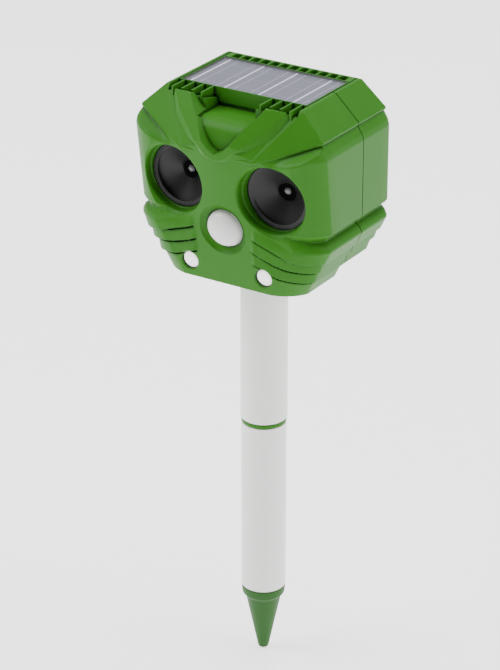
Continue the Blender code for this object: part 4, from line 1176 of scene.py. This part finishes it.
rim_r = span("ground_spike")[1].x
rim_z = span("lower_tube")[0].z - GAP
plug_top = span("ground_spike")[1].z
cone_r, shoulder = 0.8 * rim_r, rim_z - 5.6
spike_profile = [
    (0, 0), (2.0, 0), (2.9, 0.4), (3.4, 1.2), (cone_r - 0.15, shoulder - 3.2), (cone_r, shoulder - 2.4),
    (cone_r + 0.5, shoulder - 1.6), (rim_r * 0.93, shoulder - 0.3), (rim_r * 0.96, shoulder + 0.4),
    (rim_r - 0.1, rim_z - 0.6), (rim_r - 0.4, rim_z), (12.0, rim_z), (12.0, plug_top), (10.4, plug_top),
    (10.4, rim_z - 1.0), (0, rim_z - 1.0),
]
spike = turned("pole_spike", spike_profile, (0, 0, 0), "Z", 128)
finish_piece(spike, SPIKE_GREEN, "spike", ["ground_spike"], 40.0)

# %% [markdown]
# ## Controls and door on the back
# The back isn't a place for show, but it is where the hand goes: two ribbed dials, a rubber button, a rubber
# flap over the charging port, and the battery door with its grip lines and two screws.

# %% Dials and button
TEETH = 28


def dial(name, node, body, slot):
    low, high = span(node)
    centre = (low + high) / 2
    spot = (centre.x, high.y, centre.z)
    radius, deep = (high.x - low.x) / 2, high.y - low.y
    core = [(0, -deep), (radius - 0.5, -deep), (radius - 0.5, -0.7), (radius - 1.1, -0.1), (5.4, -0.1),
            (5.0, -0.6), (0, -0.6)]
    knob = turned(name, core, spot)
    values = {"Count": TEETH, "Radius": radius - 0.65, "Sweep": 2 * math.pi, "Size": (0.8, deep - 1.2, 1.1)}
    teeth = grow(RING, "teeth", values, [(spot[0], spot[1] - deep / 2 - 0.2, spot[2])])
    pointer = rounded_hull("pointer", [(spot[0] + x, spot[1] + y, spot[2] + z) for x in (-0.7, 0.7)
                                       for y in (-1.6, -0.1) for z in (-4.6, 4.6)], 0.3)
    carve(knob, [pointer], "UNION")
    carve(knob, [teeth], "UNION")
    return finish_piece(knob, BLACK, body, [node])


dial("frequency_knob_ribbed", "frequency_dial", "frequency_knob", "black_plastic")
dial("sensitivity_knob_ribbed", "sensitivity_dial", "sensitivity_knob", "black_plastic")
button_low, button_high = span("power_button")
button_r = 5.0
button_back = button_low.y - button_high.y
button_profile = [(0, button_back), (6.0, button_back), (6.0, button_back + 1.0),
                  (button_r, button_back + 1.0), (button_r, -1.0), (button_r - 0.3, -0.4),
                  (button_r - 1.0, -0.05), (3.2, -0.05), (2.9, -0.35), (2.5, -0.35), (2.2, -0.05), (0, 0)]
button = turned("rubber_button", button_profile, (BUTTON.x, button_high.y, BUTTON.z), steps=64)
finish_piece(button, RUBBER, "power_button", ["power_button"])

# %% Port flap, battery door and screws
flap = rounded_plate("port_flap_cover", "port_cover", 0.8)
finish_piece(flap, RUBBER, "port_flap", ["port_cover"])

door = rounded_plate("battery_lid_cover", "battery_door", 0.4)
grip_bars = [(0, DOOR_HIGH.y, DOOR_HIGH.z - 6.0 - 2.4 * i) for i in range(6)]
grips = [grow(ROW, "grip", {"Count": 1, "First": spot, "Size": (22.0, 1.2, 1.0)}) for spot in grip_bars]
sinks = [back_cup(screw.x, screw.z, 3.1, 1.15, 48) for screw in DOOR_SCREWS]
carve(door, grips + sinks)
finish_piece(door, CASE_GREEN, "battery_lid", ["battery_door"])


def screw_set(name, nodes, body, height):
    boxes = [span(node) for node in nodes]
    points = [((low.x + high.x) / 2, high.y - height, (low.z + high.z) / 2) for low, high in boxes]
    values = {"Radius": (boxes[0][1].x - boxes[0][0].x) / 2, "Height": height, "Paint": SCREW_STEEL}
    return finish_piece(grow(SCREWS, name, values, points), SCREW_STEEL, body, nodes)


screw_set("case_screw_heads", [f"case_screw_{i}" for i in (1, 2, 3, 4)], "head", 1.8)
screw_set("door_screw_heads", ["door_screw_1", "door_screw_2"], "battery_lid", 0.9)

# %% [markdown]
# ## Inner parts
# What sits inside keeps the frame's own mesh, and gets the finish that such a part has, except the speaker
# drivers, which are painted near black as the shade of the deep throats in front of them. It shows when the
# battery door is off, and through the gaps round the controls.

# %% Inner parts
INNER = {
    # The speaker drivers get painted shade, standing for the deep throats in front of them.
    "pole_socket": CASE_GREEN, "speaker_driver_left": THROAT_SHADE_BLACK, "speaker_driver_right": THROAT_SHADE_BLACK,
    "speaker_gasket_left": RUBBER, "speaker_gasket_right": RUBBER, "pir_sensor": CAN_STEEL,
    "pir_board": BOARD, "lamp_left": LAMP_WHITE, "lamp_right": LAMP_WHITE, "main_board": BOARD,
    "transformer": BLACK, "control_chip": BLACK, "capacitor": BLACK, "battery_tray": BLACK,
    "battery_cell_1": SLEEVE, "battery_cell_2": SLEEVE, "battery_cell_3": SLEEVE,
    "battery_contact_left": CAN_STEEL, "battery_contact_right": CAN_STEEL, "button_switch": BLACK,
    "frequency_switch": BLACK, "sensitivity_switch": BLACK, "charge_socket": CAN_STEEL,
}
for node, mat in INNER.items():
    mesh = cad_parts[node].data
    mesh.materials.clear()
    mesh.materials.append(mat)
print(f"{len(INNER)} inner parts keep their own mesh")
